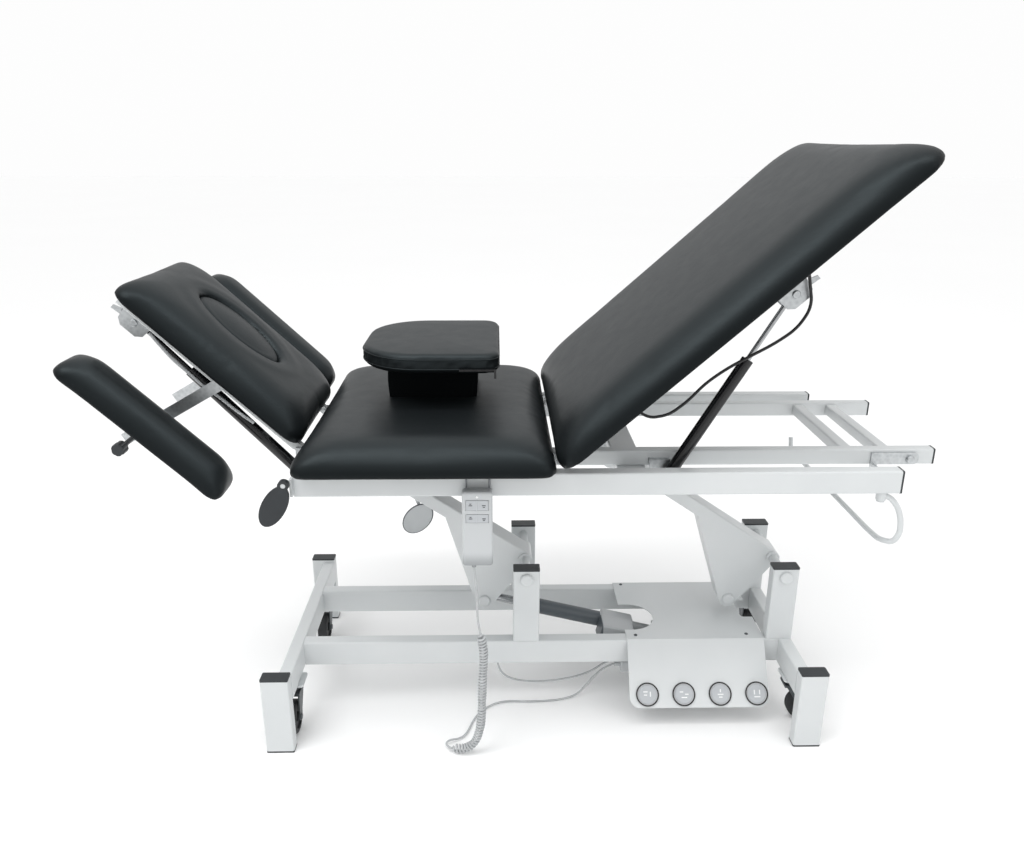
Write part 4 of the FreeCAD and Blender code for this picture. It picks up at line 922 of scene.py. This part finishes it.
# Surface turned about the out axis: radius and height follow the profile, both ends closed on the axis.
def lathe(profile, around, centre, side, up, out, name, material):
    pr = np.asarray(profile, float)
    a = np.linspace(0, 2 * math.pi, around, endpoint=False)
    u = pr[:, 0][:, None] * np.cos(a)[None, :]
    v = pr[:, 0][:, None] * np.sin(a)[None, :]
    w = pr[:, 1][:, None] + 0 * u
    points = placed(np.stack([u, v, w], axis=-1).reshape(-1, 3), centre, side, up, out)
    obj = meshObject(name, points, gridFaces(len(pr), around), material)
    mergeClose(obj, 1e-6)
    return obj


# Half ellipse from the rim to the crown, with a flat underside.
def domeProfile(radius, height, skirt=0.0004):
    q = np.linspace(0, math.pi / 2, 9)
    arc = [(radius * math.cos(t), skirt + height * math.sin(t)) for t in q]
    return [(1e-7, 0.0), (radius, 0.0)] + arc[:-1] + [(1e-7, skirt + height)]


# the ring entries place a black ring round each key's collar: painted shadow of the groove between cap and rim
footKeys = {"count": 4, "bend": (-0.12965, 0.1776), "foot": (-0.2145, 0.052), "dish": 0.0196, "rim": 0.0010,
            "ring": (0.0230, 0.0262), "grooveShadowRise": 0.0006, "collar": 0.0040}
# strokes of each key's sign: (across, up, width, height)
keySigns = [
    [(-0.005, 0.006, 0.0100, 0.0024), (-0.005, -0.001, 0.0070, 0.0024), (0.006, 0.001, 0.0024, 0.0110)],
    [(-0.006, 0.005, 0.0080, 0.0024), (0.006, 0.000, 0.0080, 0.0024), (0.000, -0.007, 0.0130, 0.0024)],
    [(0.000, 0.007, 0.0024, 0.0070), (0.000, -0.001, 0.0130, 0.0024), (0.000, -0.007, 0.0080, 0.0024)],
    [(-0.006, 0.003, 0.0024, 0.0100), (0.006, 0.003, 0.0024, 0.0100), (0.000, -0.007, 0.0140, 0.0024)],
]


# Unit vectors of the cover's slope: down the slope and outward from it.
def slopeFrame():
    down = np.array(footKeys["foot"]) - np.array(footKeys["bend"])
    down /= np.linalg.norm(down)
    return down, np.array([down[1], -down[0]])


# Middle of a foot key's outer face, read from its own points.
def keyFace(k):
    pts = readPoints(nodes["foot_button_%d" % (k + 1)].data)
    down, out = slopeFrame()
    height = pts[:, 1] * out[0] + pts[:, 2] * out[1]
    top = pts[height > height.max() - 0.0003]
    return (top.min(axis=0) + top.max(axis=0)) / 2


# Cap with a dished face, a black ring round its collar as painted shadow of the groove there, and raised strokes.
def makeFootKeys():
    down, out = slopeFrame()
    axes = ((1.0, 0.0, 0.0), (0.0, -down[0], -down[1]), (0.0, out[0], out[1]))
    d, rim = footKeys["dish"], footKeys["rim"]
    inner, outer = footKeys["ring"]
    low, high = footKeys["collar"], footKeys["collar"] + footKeys["grooveShadowRise"]
    for k in range(footKeys["count"]):
        body = "foot_key_%d" % (k + 1)
        centre = keyFace(k)
        dish = [(1e-7, 0.0), (d, 0.0), (d, rim * 0.6), (d - 0.0018, rim), (d - 0.0028, rim * 0.4), (1e-7, rim * 0.3)]
        cap = lathe(dish, 64, centre, *axes, "keyDish%d" % (k + 1), finish["keyPlastic"])
        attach(cap, body)
        # black ring just under the key face, standing in as painted shadow of the groove round its collar
        under = centre - np.array(axes[2]) * 0.007
        loop = [(inner, low), (inner, high), (outer, high), (outer, low), (inner, low)]
        ring = lathe(loop, 64, under, *axes, "keyGrooveShadow%d" % (k + 1), finish["blackEnamel"])
        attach(ring, "base")
        for n, (u, v, w, h) in enumerate(keySigns[k]):
            sign = signBar("keySign%d_%d" % (k + 1, n), centre, *axes, u, v, w, h)
            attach(sign, body)


# Thin raised bar, its rim drawn in near the top.
def signBar(name, centre, side, up, out, u, v, w, h, rise=0.0005, lift=0.0003):
    e = min(w, h) * 0.18

    def corners(d, z):
        return [(u - w / 2 + d, v - h / 2 + d, z), (u + w / 2 - d, v - h / 2 + d, z),
                (u + w / 2 - d, v + h / 2 - d, z), (u - w / 2 + d, v + h / 2 - d, z)]

    stack = corners(0, lift) + corners(0, lift + rise - e * 0.5) + corners(e, lift + rise)
    pts = placed(stack, centre, side, up, out)
    faces = [(3, 2, 1, 0), (8, 9, 10, 11)]
    for r in (0, 4):
        faces += [(r + i, r + (i + 1) % 4, r + 4 + (i + 1) % 4, r + 4 + i) for i in range(4)]
    return meshObject(name, pts, faces, finish["iconWhite"], smooth=False)


farPaddle = {"centre": (-0.236, 0.402), "half": (0.0430, 0.0290), "angle": 48.0, "y": (0.050, 0.058), "around": 72,
             "rim": 0.0021}


# Blade: points (f a cos t, f b sin t) turned by the angle, f and depth following the rows; a bent wire round its rim.
def makeFarPaddle():
    front, back = farPaddle["y"]
    rows = np.array([(1e-5, front + 0.0012), (0.90, front + 0.0012), (0.94, front + 0.0004), (0.98, front + 0.0004),
                     (1.0, front + 0.0024), (1.0, back - 0.0020), (0.97, back), (1e-5, back)])
    t = np.linspace(0, 2 * math.pi, farPaddle["around"], endpoint=False)
    turn = math.radians(farPaddle["angle"])
    a, b = farPaddle["half"]
    u, v = a * np.cos(t), b * np.sin(t)
    x = rows[:, :1] * (u * math.cos(turn) - v * math.sin(turn))[None, :] + farPaddle["centre"][0]
    z = rows[:, :1] * (u * math.sin(turn) + v * math.cos(turn))[None, :] + farPaddle["centre"][1]
    y = rows[:, 1:] + 0 * x
    points = np.stack([x, y, z], axis=-1)
    blade = meshObject("farPaddleBlade", points.reshape(-1, 3), gridFaces(len(rows), len(t)), finish["greyPlastic"])
    mergeClose(blade, 2e-6)
    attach(blade, "far_paddle")
    middle = points[4].copy()
    middle[:, 1] = (front + back) / 2 - 0.0014
    ringTube("farPaddleRim", middle, farPaddle["rim"], 10, finish["forkSteel"], "far_paddle",
             up=(0.0, 1.0, 0.0))


coverScrews = {"places": ((0.278, -0.113), (0.538, -0.112), (0.2765, 0.120)), "z": 0.1776, "radius": 0.0042,
               "height": 0.0022}


def makeCoverScrews():
    for k, (x, y) in enumerate(coverScrews["places"]):
        head = domeProfile(coverScrews["radius"], coverScrews["height"])
        obj = lathe(head, 24, (x, y, coverScrews["z"]), (1, 0, 0), (0, 1, 0), (0, 0, 1), "coverScrew%d" % (k + 1),
                    finish["forkSteel"])
        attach(obj, "base")


handsetFace = {"x": -0.083, "y": -0.308, "rows": ((0.600, 0.021), (0.572, 0.017)), "lamp": (-0.083, 0.6175)}


# A round lamp above the keys, and three strokes on each key row.
def makeHandsetMarks():
    side, up, out = (1, 0, 0), (0, 0, 1), (0, -1, 0)
    x, y = handsetFace["x"], handsetFace["y"]
    lamp = lathe(domeProfile(0.0026, 0.0010), 24, (handsetFace["lamp"][0], y, handsetFace["lamp"][1]), side, up, out,
                 "handsetLamp", finish["iconWhite"])
    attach(lamp, "handset")
    for r, (z, height) in enumerate(handsetFace["rows"]):
        body = "rocker_" + ("upper", "lower")[r]
        marks = ((-0.013, 0.0, 0.0070, 0.0016), (-0.013, 0.0035, 0.0040, 0.0014), (0.013, 0.0, 0.0070, 0.0016),
                 (0.013, -0.0035, 0.0040, 0.0014))
        for n, (u, v, w, h) in enumerate(marks):
            bar = signBar("handsetSign%d_%d" % (r, n), (x, y - 0.0016, z), side, up, out, u, v, w, h, 0.0004, 0.0)
            bar.data.materials.clear()
            bar.data.materials.append(finish["slatePlastic"])
            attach(bar, body)


makeFinishes()
makeCamera()
makeStudio()
makeCords()
dressNodes()
makePads()
makePlug()
makePillow()
makePillowBlock()
makeZip()
makeFarPaddle()
makeFootKeys()
makeCoverScrews()
makeHandsetMarks()
